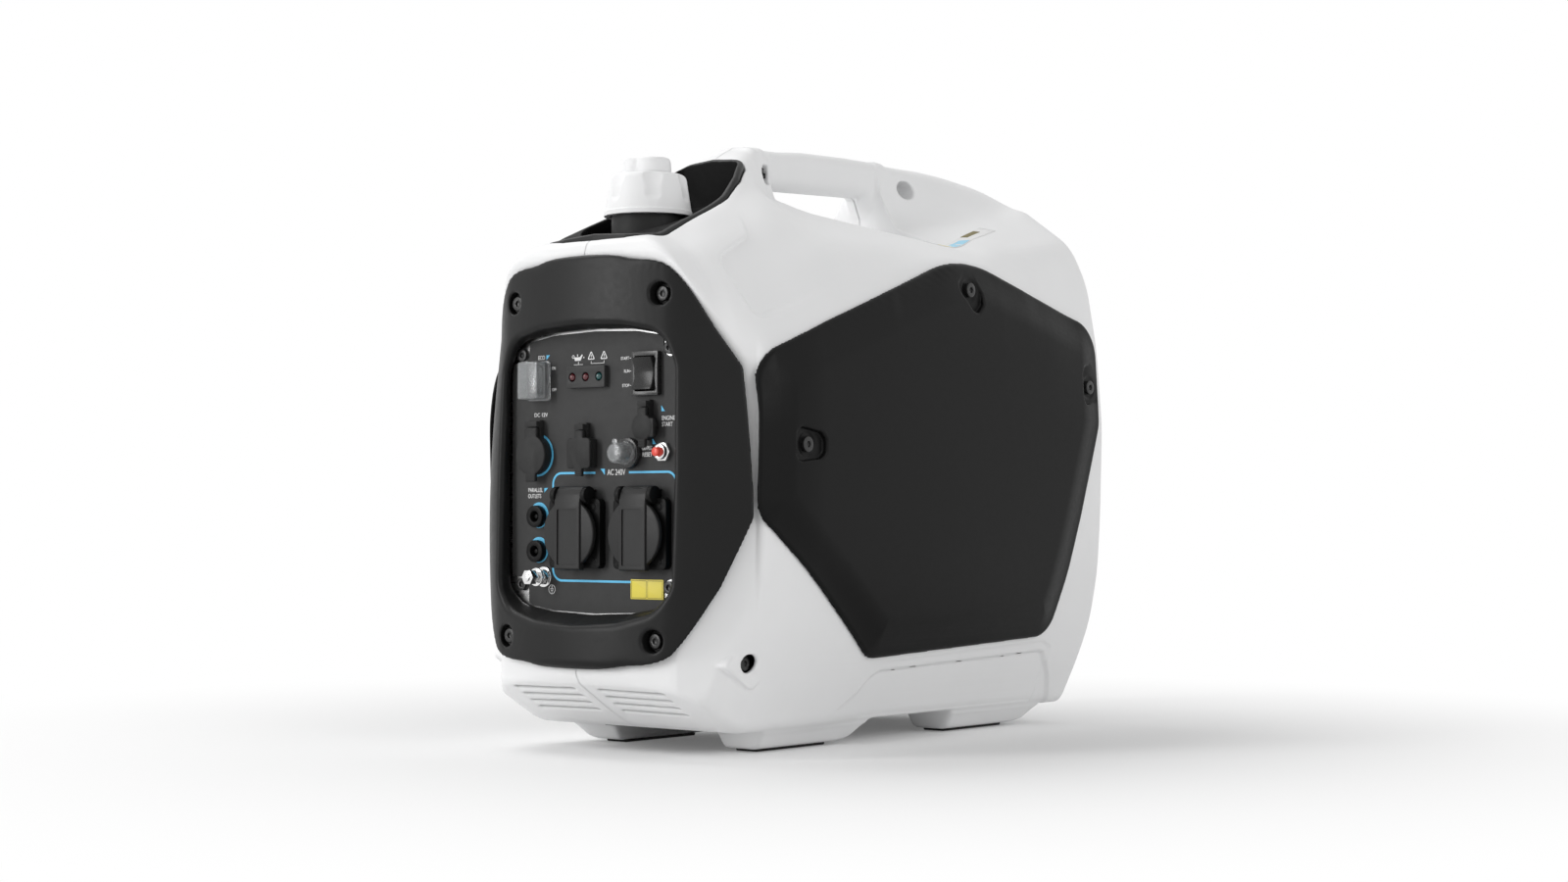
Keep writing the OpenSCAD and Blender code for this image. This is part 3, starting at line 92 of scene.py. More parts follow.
# Half sections from front to rear: y, inset of the lower side, half width at WIDE,
# then (x, depth below the top) from the middle outwards
SECTIONS = [
    (f-4, 12, s-14, [(0, 88), (53, 91), (62, 94), (76, 103), (90, 121), (99, 137), (110, 165)]),
    (f+38, 11, s-11, [(0, 85), (53, 88), (62, 92), (80, 103), (97, 128), (107, 156), (116, 180)]),
    (f+50, 8, s-8, [(0, 81), (53, 83), (62, 88), (84, 99), (106, 130), (118, 166), (123, 184)]),
    (f+69, 3, s-3, [(0, 74), (53, 75), (62, 79), (86, 94), (113, 131), (126, 160), (s-6, 174)]),
    (f+113, 0, s, [(0, 54), (48, 55), (57, 61), (84, 79), (115, 114), (s-5, 150), (s-2, 168)]),
    (f+152, 0, s, [(0, 22), (33, 24), (42, 41), (62, 55), (112, 97), (s-4, 137), (s-2, 160)]),
    (f+182, 0, s, [(0, 7), (20, 11), (31, 45), (38, 48), (104, 88), (s-4, 125), (s-2, 152)]),
    (-52, 0, s, [(0, 5), (15, 9), (25, 46), (43, 52), (105, 86), (s-4, 120), (s-2, 150)]),
    (-38, 0, s, [(0, GAP), (18, GAP), (38, GAP), (49, 55), (106, 85), (s-5, 114), (s-2, 149)]),
    (0, 0, s, [(0, GAP), (18, GAP), (55, GAP), (66.5, 62.5), (109, 85), (s-5, 104), (s-2, 148)]),
    (40, 0, s, [(0, GAP), (18, GAP), (74, GAP), (86, 70.5), (114, 85), (s-6, 94), (s-2, 147)]),
    (88, 0, s, [(0, GAP), (18, GAP), (88, GAP+2), (103, 78), (119, 86), (s-7, 95), (s-2, 147)]),
    (98, 0, s, [(0, 0), (13, 3), (22, 54), (102, 77), (118, 84), (s-7, 97), (s-2, 148)]),
    (124, 0, s, [(0, 1), (19, 4), (33, 50), (95, 68), (117, 80), (s-7, 102), (s-2, 149)]),
    (150, 0, s, [(0, 1), (25, 5), (42, 46), (86, 60), (116, 78), (s-8, 108), (s-2, 151)]),
    (200, 0, s, [(0, 3.5), (30, 10), (52, 36), (73, 46), (114, 70), (s-8, 122), (s-3, 158)]),
    (r-11, 0, s, [(0, 7), (32, 19), (52, 29), (63, 32), (108, 64), (s-14, 97), (s-5, 150)]),
    (r, 10, s-9, [(0, 18), (30, 29), (48, 38), (58, 42), (100, 71), (s-25, 102), (s-14, 152)]),
]
LOWER_SIDE = [(s-2, WAIST), (s-5, 125), (s-12, 85), (s-21, 55), (s-34, UNDER+6), (s-40, UNDER)]

# ---------------------------------------------------- moulded forms as fields
# A form is a grid of distances in millimetres to its surface, negative inside.


def smooth_max(a, b, k):
    """The part common to two forms, with a rounded edge about k/2 in radius."""
    d = np.maximum(k - np.abs(a - b), 0.0)
    return np.maximum(a, b) + d * d * (0.25 / k)


def smooth_min(a, b, k):
    """Two forms joined with a fillet."""
    return -smooth_max(-a, -b, k)


def common(form, *others):
    """The part common to all the forms, with sharp edges."""
    for other in others:
        form = np.maximum(form, other)
    return form


def without(form, k, *hole):
    """A form less the common part of the others, with an edge about k/2 in radius."""
    hole = common(*hole)
    return smooth_max(form, -hole, k) if k else np.maximum(form, -hole)


def smooth_step(t):
    """0 up to t = 0 and 1 from t = 1, smooth between them."""
    t = np.clip(t, 0.0, 1.0)
    return t * t * (3.0 - 2.0 * t)


def monotone(ys, rows, at):
    """Rows interpolated at the given stations, with no overshoot between them."""
    ys, rows = np.asarray(ys, float), np.asarray(rows, float)
    gap = np.diff(ys)[:, None]
    slope = np.diff(rows, axis=0) / gap
    left, right = slope[:-1], slope[1:]
    w1, w2 = 2 * gap[1:] + gap[:-1], gap[1:] + 2 * gap[:-1]
    same = left * right > 0
    safe = np.where(same, left, 1.0), np.where(same, right, 1.0)
    inner = np.where(same, (w1 + w2) / (w1 / safe[0] + w2 / safe[1]), 0.0)
    tangent = np.vstack([slope[:1], inner, slope[-1:]])
    k = np.clip(np.searchsorted(ys, at) - 1, 0, len(ys) - 2)
    t = ((at - ys[k]) / np.diff(ys)[k])[:, None]
    a, b, g = rows[k], rows[k + 1], gap[k]
    return ((1 + 2*t) * (1-t)**2 * a + t * (1-t)**2 * g * tangent[k]
            + t*t * (3 - 2*t) * b + t*t * (t-1) * g * tangent[k + 1])


def rounded_line(points, reach):
    """Open line with a short curve in place of each corner."""
    out = [points[0]]
    for before, p, after in zip(points, points[1:], points[2:]):
        la, lb = np.linalg.norm(before - p), np.linalg.norm(after - p)
        t = min(reach, 0.48 * la, 0.48 * lb)
        a, b = p + (before - p) * t / la, p + (after - p) * t / lb
        for u in np.linspace(0, 1, 6 if t > 3 else 3):
            out.append((1-u)**2 * a + 2*u*(1-u) * p + u*u * b)
    return np.array(out + [points[-1]])


def arc_corners(points, radius):
    """Outline with each corner an arc; a point may carry its own radius as a third value."""
    pts = [np.array(p[:2], float) for p in points]
    out = []
    for i, p in enumerate(pts):
        rad = points[i][2] if len(points[i]) > 2 else radius
        if rad <= 0:
            out.append(p)
            continue
        a, b = pts[i - 1] - p, pts[(i + 1) % len(pts)] - p
        la, lb = np.linalg.norm(a), np.linalg.norm(b)
        a, b = a / la, b / lb
        half = 0.5 * math.acos(float(np.clip(a @ b, -1, 1)))
        if half > 1.55:
            out.append(p)
            continue
        t = min(rad / math.tan(half), 0.49 * la, 0.49 * lb)
        rad = t * math.tan(half)
        centre = p + (a + b) / np.linalg.norm(a + b) * rad / math.sin(half)
        start, end = p + a * t - centre, p + b * t - centre
        turn = math.atan2(start[0]*end[1] - start[1]*end[0], start @ end)
        steps = max(2, int(abs(turn) * 8 * max(rad, 4) ** 0.3))
        for u in np.linspace(0, turn, steps + 1):
            c, w = math.cos(u), math.sin(u)
            out.append(centre + [start[0]*c - start[1]*w, start[0]*w + start[1]*c])
    return np.array(out)


def outline_distance(points, a, b, closed=True):
    """Signed distance from an outline, on the grid of a by b."""
    A, B = np.meshgrid(a, b, indexing="ij")
    best = np.full(A.shape, 1e9)
    inside = np.zeros(A.shape, bool)
    for p, q in zip(points, np.roll(points, -1, 0) if closed else points[1:]):
        e = q - p
        long = e @ e
        if long < 1e-9:
            continue
        da, db = A - p[0], B - p[1]
        t = np.clip((da * e[0] + db * e[1]) / long, 0, 1)
        best = np.minimum(best, (da - t * e[0])**2 + (db - t * e[1])**2)
        if p[1] != q[1]:
            crosses = (p[1] <= B) != (q[1] <= B)
            inside ^= crosses & (da < db * e[0] / e[1])
    return (np.where(inside, -1.0, 1.0) * np.sqrt(best)).astype(np.float32)


def finer(coarse, fine):
    """Cubic weights that carry values from evenly spaced coarse places to fine ones."""
    u = (fine - coarse[0]) / (coarse[1] - coarse[0])
    base = np.clip(np.floor(u).astype(int), 1, len(coarse) - 3)
    t = u - base
    w = np.zeros((len(fine), len(coarse)), np.float32)
    rows = np.arange(len(fine))
    w[rows, base - 1] = -0.5*t + t*t - 0.5*t**3
    w[rows, base] = 1 - 2.5*t*t + 1.5*t**3
    w[rows, base + 1] = 0.5*t + 2*t*t - 1.5*t**3
    w[rows, base + 2] = -0.5*t*t + 0.5*t**3
    return w


CORNERS = [(a, b, c) for a in (0, 1) for b in (0, 1) for c in (0, 1)]
COARSE = 3.0        # grid on which the body is worked out first


class Space:
    """A box of grid points in which a form's field is worked out and meshed."""

    def __init__(self, low, high, step):
        self.low, self.step = np.array(low, float), step
        self.axes = [a + step * np.arange(int((b - a) / step) + 2) for a, b in zip(low, high)]
        self.x, self.y, self.z = np.ix_(*[a.astype(np.float32) for a in self.axes])

    def outline(self, a, b, points, radius):
        """An outline on two axes, its corners rounded, carried along the third axis."""
        flat = outline_distance(arc_corners(points, radius), self.axes[a], self.axes[b])
        return np.expand_dims(flat, 3 - a - b)

    def side(self, points, radius=0):
        """Outline of (y, z) points."""
        return self.outline(1, 2, points, radius)

    def plan(self, points, radius=0):
        """Outline of (x, y) points."""
        return self.outline(0, 1, points, radius)

    def face(self, points, radius=0):
        """Outline of (x, z) points."""
        return self.outline(0, 2, points, radius)

    def bore(self, axis, at, radius):
        """Round bore along an axis through the two other coordinates."""
        a, b = [c for i, c in enumerate((self.x, self.y, self.z)) if i != axis]
        return np.sqrt((a - at[0])**2 + (b - at[1])**2) - radius

    def body(self):
        """The whole body's right half, smooth from section to section."""
        coarse = [np.arange(a[0] - 9, a[-1] + 12, COARSE) for a in self.axes]
        ys, rings = [row[0] for row in SECTIONS], []
        for _, inset, half, upper in SECTIONS:
            ring = [(x, HIGH - depth) for x, depth in upper] + [(half, WIDE)]
            ring += [(x - inset, z) for x, z in LOWER_SIDE] + [(0, UNDER)]
            rings.append(np.array(ring).ravel())
        stations = np.clip(coarse[1], ys[0], ys[-1])
        shapes = monotone(ys, rings, stations).reshape(len(stations), -1, 2)
        field = np.empty([len(c) for c in coarse], np.float32)
        for j, shape in enumerate(shapes):
            line = rounded_line(shape, 14.0)
            field[:, j, :] = outline_distance(line, np.abs(coarse[0]), coarse[2], closed=False)
        slopes = np.gradient(field, COARSE)
        field /= np.clip(np.sqrt(sum(g * g for g in slopes)), 1.0, 6.0)
        wx, wy, wz = [finer(c, a) for c, a in zip(coarse, self.axes)]
        part = np.tensordot(wx, field, (1, 0))
        part = np.tensordot(part, wy, (1, 1))
        return np.ascontiguousarray(np.tensordot(part, wz, (1, 1)), dtype=np.float32)

    def sample(self, field, pts):
        """Field values at points, between the grid's own."""
        u = (pts - self.low) / self.step
        k = [np.clip(u[:, i].astype(int), 0, field.shape[i] - 2) for i in range(3)]
        t = [u[:, i] - k[i] for i in range(3)]
        total = 0
        for o in CORNERS:
            w = [t[i] if o[i] else 1 - t[i] for i in range(3)]
            total = total + w[0] * w[1] * w[2] * field[k[0] + o[0], k[1] + o[1], k[2] + o[2]]
        return total

    def slope(self, field, pts):
        """The field's gradient at points."""
        g = [self.sample(field, pts + d) - self.sample(field, pts - d)
             for d in np.eye(3) * self.step * 0.5]
        return np.stack(g, 1) / self.step

    def skin(self, field):
        """Points and quads of the surface where the field is zero."""
        inside = field < 0
        count = sum(inside[tuple(slice(k, n - 1 + k) for k, n in zip(o, field.shape))].astype(np.uint8)
                    for o in CORNERS)
        cells = np.nonzero((count > 0) & (count < 8))
        number = np.full(count.shape, -1, np.int32)
        number[cells] = np.arange(len(cells[0]))
        values = {o: field[cells[0] + o[0], cells[1] + o[1], cells[2] + o[2]] for o in CORNERS}
        place = np.zeros((len(cells[0]), 3))
        hits = np.zeros(len(cells[0]))
        for o in CORNERS:
            for axis in range(3):
                if o[axis]:
                    continue
                a, b = values[o], values[tuple(o[i] + (i == axis) for i in range(3))]
                m = (a < 0) != (b < 0)
                t = np.where(m, a / np.where(m, a - b, 1), 0)
                for i in range(3):
                    place[:, i] += m * (o[i] + (t if i == axis else 0))
                hits += m
        pts = (np.stack(cells, 1) + place / hits[:, None]) * self.step + self.low
        quads = []
        for axis in range(3):
            u, v = (axis + 1) % 3, (axis + 2) % 3
            a, b = (np.moveaxis(np.moveaxis(inside, axis, 0)[piece], 0, axis)
                    for piece in (slice(None, -1), slice(1, None)))
            e = np.nonzero(a != b)
            keep = (e[u] > 0) & (e[v] > 0) & (e[u] < field.shape[u] - 1) & (e[v] < field.shape[v] - 1)
            e = [k[keep] for k in e]
            ring = []
            for du, dv in ((-1, -1), (0, -1), (0, 0), (-1, 0)):
                k = list(e)
                k[u], k[v] = k[u] + du, k[v] + dv
                ring.append(number[tuple(k)])
            q = np.stack(ring, 1)
            quads.append(np.where(a[tuple(e)][:, None], q, q[:, ::-1]))
        quads = np.concatenate(quads)
        quads = quads[(quads >= 0).all(1)]
        for _ in range(2):
            value, g = self.sample(field, pts), self.slope(field, pts)
            pull = value / np.maximum((g * g).sum(1), 0.2)
            pts = pts - np.clip(pull, -self.step, self.step)[:, None] * g
        return pts, quads


# ------------------------------------------------------------------- meshes


def mesh_object(name, pts, faces):
    """A new mesh object from points in millimetres."""
    mesh = bpy.data.meshes.new(name)
    mesh.vertices.add(len(pts))
    mesh.vertices.foreach_set("co", (np.asarray(pts) * MM).astype(np.float32).ravel())
    faces = np.asarray(faces, np.int32)
    mesh.loops.add(faces.size)
    mesh.loops.foreach_set("vertex_index", faces.ravel())
    mesh.polygons.add(len(faces))
    mesh.polygons.foreach_set("loop_start", np.arange(0, faces.size, faces.shape[1], dtype=np.int32))
    mesh.polygons.foreach_set("use_smooth", np.ones(len(faces), bool))
    mesh.update(calc_edges=True)
    mesh.validate()
    return placed(name, mesh)


def only(obj):
    """Makes obj the one selected and active object."""
    if bpy.context.object and bpy.context.object.mode != "OBJECT":
        bpy.ops.object.mode_set(mode="OBJECT")
    bpy.ops.object.select_all(action="DESELECT")
    obj.select_set(True)
    bpy.context.view_layer.objects.active = obj
    return obj


def modified(obj, kind, **settings):
    """Puts a modifier on a piece and applies it."""
    name = settle(obj.modifiers.new(kind, kind), **settings).name
    only(obj)
    bpy.ops.object.modifier_apply(modifier=name)
    return obj


def cut_by(obj, tool):
    """Takes one piece out of another and removes it."""
    modified(obj, "BOOLEAN", operation="DIFFERENCE", solver="EXACT", object=tool)
    bpy.data.objects.remove(tool)


def edited(obj, *steps):
    """Takes each step on the whole mesh of a piece."""
    only(obj)
    bpy.ops.object.mode_set(mode="EDIT")
    for step in steps:
        bpy.ops.mesh.select_all(action="SELECT")
        step()
    bpy.ops.object.mode_set(mode="OBJECT")
    return obj


def join_points():
    bpy.ops.mesh.remove_doubles(threshold=1e-6)


def face_outward():
    bpy.ops.mesh.normals_make_consistent(inside=False)


def pushed(way):
    """A step that extrudes a mesh by way."""
    move = {"value": [v * MM for v in way]}
    return lambda: bpy.ops.mesh.extrude_region_move(TRANSFORM_OT_translate=move)


def smooth_shaded(obj, angle=40):
    only(obj)
    bpy.ops.object.shade_smooth_by_angle(angle=math.radians(angle))
    return obj


# ----------------------------------------------------------------- outlines


def ring_outline(at, radius, steps=40):
    """Circle about a point; two radii in turn make it knurled."""
    radii = radius if isinstance(radius, tuple) else (radius,)
    return [(at[0] + radii[i % len(radii)] * math.cos(TAU * i / steps),
             at[1] + radii[i % len(radii)] * math.sin(TAU * i / steps)) for i in range(steps)]


def block(at, width, height, radius=1.0):
    """Outline of a rounded rectangle about a middle."""
    a, b = width / 2, height / 2
    corners = [(at[0] - a, at[1] - b), (at[0] + a, at[1] - b), (at[0] + a, at[1] + b), (at[0] - a, at[1] + b)]
    return [tuple(p) for p in arc_corners(corners, radius)]


# --------------------------------------------------------- housing halves

STEP = 1.4
SEAM = 0.4          # from the middle to a half's edge
WHITE_SIDE = [(f+72, 15), (f+72, 16), (f+44, 31.5), (f+12.5, 51.5, 9), (f+6, 61), (f+16, BEZEL_HIGH),
              (f+18, h-94, 5), (f+24, h-87.5, 6), (f+26, h+10), (r+10, h+10), (r+10, WAIST), (r, WAIST),
              (r-6, 90), (r-16, 16, 6), (r-16, 15)]
BEZEL_ZONE = [(f-60, 62), (f+5, 62, 3), (f+14.5, 74, 8), (f+35, 121), (f+51, 170, 12), (f+50, h-184, 12),
              (f+38, h-156), (f+23, h-121), (f+18, h-109, 8), (f+13, 359, 6), (f-60, 359)]
TRIM_PLAN = [(-53, f+33), (-30, f+26), (0, f+24.2), (30, f+26), (53, f+33), (54, f+44), (48, f+116),
             (42, f+138), (32, f+156), (28, f+159), (-28, f+159), (-32, f+156), (-42, f+138),
             (-48, f+116), (-54, f+44)]
TRIM_FLOOR = h - 93
COVER_PLAN = [(f+52, WAIST-1), (f+52, h-176, 32), (f+124, h-148), (r-205, h-88, 130), (r-16, h-134, 30),
              (r-17, WIDE), (r-74, 74), (f+189, 65)]
COVER_SCREWS = [(f+95, WIDE-23.5, s-2), (r-199, h-115, s-4.8), (r-34, WIDE+30.5, s-2)]
SERVICE = [(f+83, 158), (f+83, WIDE-35), (f+128, WIDE-35), (f+128, WIDE+43), (r-50, WIDE+43), (r-50, 200),
           (r-85, 98), (f+183, 98)]
BACK = [(-85.3, WAIST+7.7), (85.3, WAIST+7.7), (85.3, h-128.7), (-85.3, h-128.7)]
HANDLE_SCREWS = [(-53, h-27, 9), (123, h-22, 8)]
BOSS = (s - 23.5, f + 61, 68.0)     # plug boss low on the corner
BOSS_SHAPE = [(-24, -1), (-20, 3), (8, 16), (13, 15), (26, 4), (25, -1), (8, -18), (3, -18)]
FEET = [(f+108, 112), (r-157, 112)]
FOOT_FACE = [(50, 1.2, 5), (76, 1.2, 9), (84, 4, 6), (98, 20), (50, 20)]
SCALLOP = [(-140, 395), (-152, 374), (-188, 357.5), (-193.5, 350), (-192, 332), (-186.5, 313),
           (-179.5, 309), (-162, 315), (-140, 322.7), (-102, 339), (-20, 372), (-60, 400)]
SKIRT = [(-92, 8), (-89, 14), (-75, 30.6), (-58, 41.4), (-47, 52.5), (-36, 57.2), (60, 60), (174, 63.4),
         (182, 62.5), (200, 40), (218, 8)]
LEDGE = [(-60, 61), (-50, 63), (176, 71.5), (190, 66), (190, 20), (-60, 20)]
HANDLE = [(-69, h-7), (-21, h-4.5), (7, h-1.8), (61, h), (108, h), (108, h-48), (91, h-46, 4),
          (83, h-30.5, 6), (-20, h-35), (-40, h-37, 4), (-47, h-48), (-69, h-48)]
HANDLE_WAIST = [(-69, 24), (-52, 18.5), (-38, 14), (-20, 13), (60, 13), (78, 13.5), (98, 14), (124, 15)]
VENT_SLOPE = math.radians(-33)


def front_plan(inset):
    """Front end from above: curved face, then a 45 degree flank."""
    rad, half = FACE_RADIUS - inset, 84 - inset * 0.5
    a = math.asin(half / rad)
    arc = [(rad * math.sin(a*i/8), FRONT + FACE_RADIUS - rad * math.cos(a*i/8)) for i in range(-8, 9)]
    corner, back = 88 - inset * 0.4, FRONT + 13 + inset * 1.02
    right = [(corner, back), (corner + 39, back + 39), (200, back + 50), (200, 400)]
    return [(-x, y) for x, y in right[::-1]] + arc + right


def housing_half():
    g = Space((-4.2, FRONT - 4, -2), (SIDE + 5, REAR + 5, HIGH + 5), STEP)
    skin = g.body()
    # shallow panel in the upper front side, fading out to the rear
    fade = smooth_step((-95 - g.y) / 60) * smooth_step((395 - g.z) / 30)
    skin = skin + 2.3 * smooth_step(-g.side(SCALLOP, 7) / 3.4) * fade
    # skirt between the feet, and the ledge over it
    for shape, radius, depth, width, start, length in ((SKIRT, 4, 2.6, 2.6, -96, 70),
                                                       (LEDGE, 3, 0.9, 2.2, -62, 40)):
        edge = smooth_step(-g.side(shape, radius) / width)
        skin = skin + depth * edge * smooth_step((g.y - start) / length) * (g.x > 60)
    skin = smooth_max(skin, g.side(WHITE_SIDE, 3), 7)
    skin = smooth_max(skin, g.plan(front_plan(6)), 4)
    skin = smooth_max(skin, g.y - REAR, 6)
    # the wall keeps its thickness where the form steps up along its length
    n = round(WALL / STEP)
    hollow = skin + WALL
    hollow[:, n:] = np.maximum(hollow[:, n:], skin[:, :-n] + WALL)
    hollow[:, :-n] = np.maximum(hollow[:, :-n], skin[:, n:] + WALL)
    for y, z, _ in HANDLE_SCREWS:
        hollow = without(hollow, 0, g.bore(0, (y, z), 11))
    # handle bar over the gap
    waist = np.interp(g.y.ravel(), *zip(*HANDLE_WAIST)).reshape(g.y.shape)
    bar = smooth_max(g.side(HANDLE, 3), abs(g.x) - waist, 12)
    skin = np.maximum(smooth_min(skin, bar, 5), g.z - h + 0.2)
    for y0, length in FEET:
        end = y0 + length
        foot = g.side([(y0-10, 20), (y0+2, 3, 8), (y0+6, 1.2, 8), (end-14, 1.2, 14), (end-4, 5, 6),
                       (end+8, 20)], 3)
        skin = smooth_min(skin, smooth_max(foot, g.face(FOOT_FACE, 3), 4), 6)
    boss = g.side([(BOSS[1] + a, BOSS[2] + b) for a, b in BOSS_SHAPE], 3)
    boss = smooth_max(boss, g.x - BOSS[0], 2.5)
    boss = smooth_max(boss, g.plan(front_plan(0)), 2.5)
    boss = np.maximum(boss, BOSS[0] - 14 - g.x)
    outer = smooth_min(skin, boss, 1.5)
    # room for the bezel, its lower screw pockets and the filler tray
    outer = smooth_max(outer, 0.5 - g.side(BEZEL_ZONE, 4), 7 - 5.5 * smooth_step((g.z - 300) / 35))
    outer = without(outer, 0, g.bore(1, (71, 84), 11.5), g.y - FRONT - 20.5)
    trim = np.maximum(g.plan(TRIM_PLAN, 3), TRIM_FLOOR - 3.5 - g.z)
    outer = smooth_max(outer, 0.45 - trim, 2.5)
    shell = without(outer, 0, hollow)
    # openings behind the covers, under the engine and in the back
    shell = without(shell, 0, g.side(SERVICE, 6), 90 - g.x)
    shell = without(shell, 0, g.x - 42.4, abs(g.y - 20.0) - 185.4, g.z - 20)
    shell = without(shell, 1.5, g.face(BACK, 12), REAR - 6 - g.y)
    for y, z, floor_x in HANDLE_SCREWS:
        shell = without(shell, 1.6, g.bore(0, (y, z), 7.5), floor_x - g.x)
    shell = without(shell, 1.2, g.bore(0, BOSS[1:], 6.6), BOSS[0] - 6.2 - g.x)
    # four slots under the front
    for i in range(4):
        cy, cz = f + 19.5 + i*8.4, 47 - i*5.4 - (g.x - 11) * math.tan(math.radians(2.5))
        c, w = math.cos(VENT_SLOPE), math.sin(VENT_SLOPE)
        across = (g.y - cy) * c + (g.z - cz) * w
        along = -(g.y - cy) * w + (g.z - cz) * c
        slot = np.sqrt(np.maximum(abs(g.x - 42) - 29.2, 0)**2 + across**2) - 1.8
        shell = without(shell, 1.2, slot, abs(along) - 7)
    return g, shell


# ------------------------------------------------------------ front bezel

BEZEL_SCREWS = [(x, z) for x in (-71, 71) for z in (84, h - 132.5)]
OPENING = [(-73, 299), (-83, 276), (-84, 200), (-83, 120), (-71, 103), (-40, 97.5), (0, 96), (40, 97.5),
           (71, 103), (83, 120), (84, 200), (83, 276), (73, 299), (40, 304.5), (0, 306), (-40, 304.5)]


def bezel_face(g, inset):
    """Face and flanks of the bezel, leaning back."""
    y = g.y - (g.z - BEZEL_LOW) * LEAN
    face = np.sqrt(g.x**2 + np.maximum(FRONT + FACE_RADIUS - y, 1.0)**2) - (FACE_RADIUS - inset)
    swell = 5.6 * np.sin(np.pi * np.clip((g.z - 66) / 236, 0, 1))
    flank = (abs(g.x) - y - (324 - inset * 1.414)) * 0.7071 - swell
    return smooth_max(face, flank, 7)


def front_bezel():
    g = Space((-132, FRONT - 4, 57), (132, -190, 364), 1.3)
    zone, face = g.side(BEZEL_ZONE, 4), bezel_face(g, 0)
    outer = smooth_max(face, zone, 8 - 6 * smooth_step((abs(g.x) - 42) / 35))
    inner = np.maximum(bezel_face(g, WALL), zone + WALL)
    solid = common(outer, -inner, -bezel_face(g, 9))
    opening = g.face(OPENING, 22)
    solid = np.minimum(solid, common(opening - WALL - 3, outer, g.y - PANEL_Y + 1))
    seats = []
    for x, z in BEZEL_SCREWS:
        seat = g.y - (FRONT + 16.3 + (z - BEZEL_LOW) * LEAN)
        hole = g.bore(1, (x, z), 8.0)
        solid = np.minimum(solid, common(hole - WALL, seat - WALL, face))
        seats.append(np.maximum(hole, seat))
    depth = np.clip(g.y - FRONT - 4, 0, 30)
    draft = opening + (0.16 + 0.2 * smooth_step((122 - g.z) / 20)) * depth - 2.0
    solid = without(solid, 5, draft)
    for hole in seats:
        solid = without(solid, 1.6, hole)
    return g, solid


# -------------------------------------------------------------- side covers

GRIP_WELL = (f + 124, 182)
DISH = [(-13, -9), (-13, 9), (-8, 12), (12, 9), (18, 4), (18, -6), (12, -10), (-8, -12)]
DISH_TURNS = (0.0, -0.85, 1.75)


def side_cover(well):
    """Cover over the engine; the left one has a well for the starter grip."""
    g = Space((88, f + 46, 58), (SIDE + 10, r - 10, h - 82), 1.3)
    skin, rim = g.body(), g.side(COVER_PLAN, 24)
    proud = 3.4 + 3.6 * smooth_step((-rim - 1.0) / 30.0)
    outer = smooth_max(skin - proud, rim + 0.5, 3.0)
    solid = np.maximum(outer, 0.4 - skin)
    hollow = np.maximum(skin - proud + WALL, rim + 3.6)
    dishes = []
    for (y, z, x), turn in zip(COVER_SCREWS, DISH_TURNS):
        c, w = math.cos(turn), math.sin(turn)
        dishes.append(g.side([(y + a*c - b*w, z + a*w + b*c) for a, b in DISH], 4.5))
        hollow = np.maximum(hollow, WALL - dishes[-1])
    solid = without(solid, 0, hollow)
    for dish, (y, z, x) in zip(dishes, COVER_SCREWS):
        solid = without(solid, 1.6, dish, x + 4.2 - g.x)
        solid = without(solid, 1.4, g.bore(0, (y, z), 8.5), x + 3.3 - g.x)
    if well:
        tub = common(g.side(block(GRIP_WELL, 79, 45, 12)), outer + 0.5, SIDE - 10.5 - g.x)
        solid = np.minimum(solid, tub)
        solid = without(solid, 2.5, g.side(block(GRIP_WELL, 74, 40, 12)), SIDE - 8 - g.x)
        solid = without(solid, 0, g.bore(0, GRIP_WELL, 3.5), SIDE - 28 - g.x)
    return g, solid


# -------------------------------------------------------------- fuel filler

FILLER = (0.0, f + 84)
CAP_Z = h - 68
CAP_RADIUS, CAP_TOP, CAP_LEAN = 32.5, 31, 4.2 / 27
SCOOP = 20.5        # radius of a grip in the cap


def fuel_trim():
    """Black tray round the filler, its rear wall rising in round steps."""
    g = Space((-60, f + 18, TRIM_FLOOR - 8), (60, f + 166, h - 8), 1.0)
    plan = g.plan(TRIM_PLAN, 3)
    block_form = smooth_max(smooth_max(plan, g.body() - 0.9, 2.2), TRIM_FLOOR - 3 - g.z, 1)
    away = g.bore(2, FILLER, 0)
    rise = TRIM_FLOOR - g.z + 0 * away
    for height, start in ((22, 47), (16, 60), (10, 70)):
        rise = rise + height * smooth_step((away - start) / 3)
    basin = smooth_max(plan + 5, rise, 3)
    solid = without(block_form, 1.6, basin)
    return g, without(solid, 0, away - 29, 0 * g.z - 1)


def fuel_cap():
    """Cap with six scooped grips under its rounded shoulder."""
    g = Space((-35, -35, -2), (35, 35, 34), 0.5)
    rad = g.bore(2, (0, 0), 0)
    side = (rad - (CAP_RADIUS - (g.z - 4) * CAP_LEAN)) / math.sqrt(1 + CAP_LEAN**2)
    lip = common(rad - CAP_RADIUS, g.z - 3.4, -g.z)
    cone = np.maximum(smooth_max(side + 0.6, g.z - CAP_TOP, 5), -g.z)
    for i in range(6):
        a = math.radians(-41 + 60 * i)
        c, w = math.cos(a), math.sin(a)
        along, across = g.x * c + g.y * w, -g.x * w + g.y * c
        depth = 1.6 * smooth_step((g.z - 7.5) / 6) - 0.15 + 0.16 * np.clip(g.z - 20, 0, 9)
        centre = CAP_RADIUS - 0.6 - (g.z - 4) * CAP_LEAN + SCOOP - depth
        cone = smooth_max(cone, SCOOP - np.sqrt((along - centre)**2 + across**2), 0.6)
    solid = smooth_min(cone, lip, 0.8)
    under = np.maximum(rad - 27.4 + 0.4 * np.clip(g.z - 11, 0, 12), g.z - 21.4)
    solid = without(solid, 1.0, under)
    return g, without(solid, 0, rad - 4.05 + 0 * g.z)


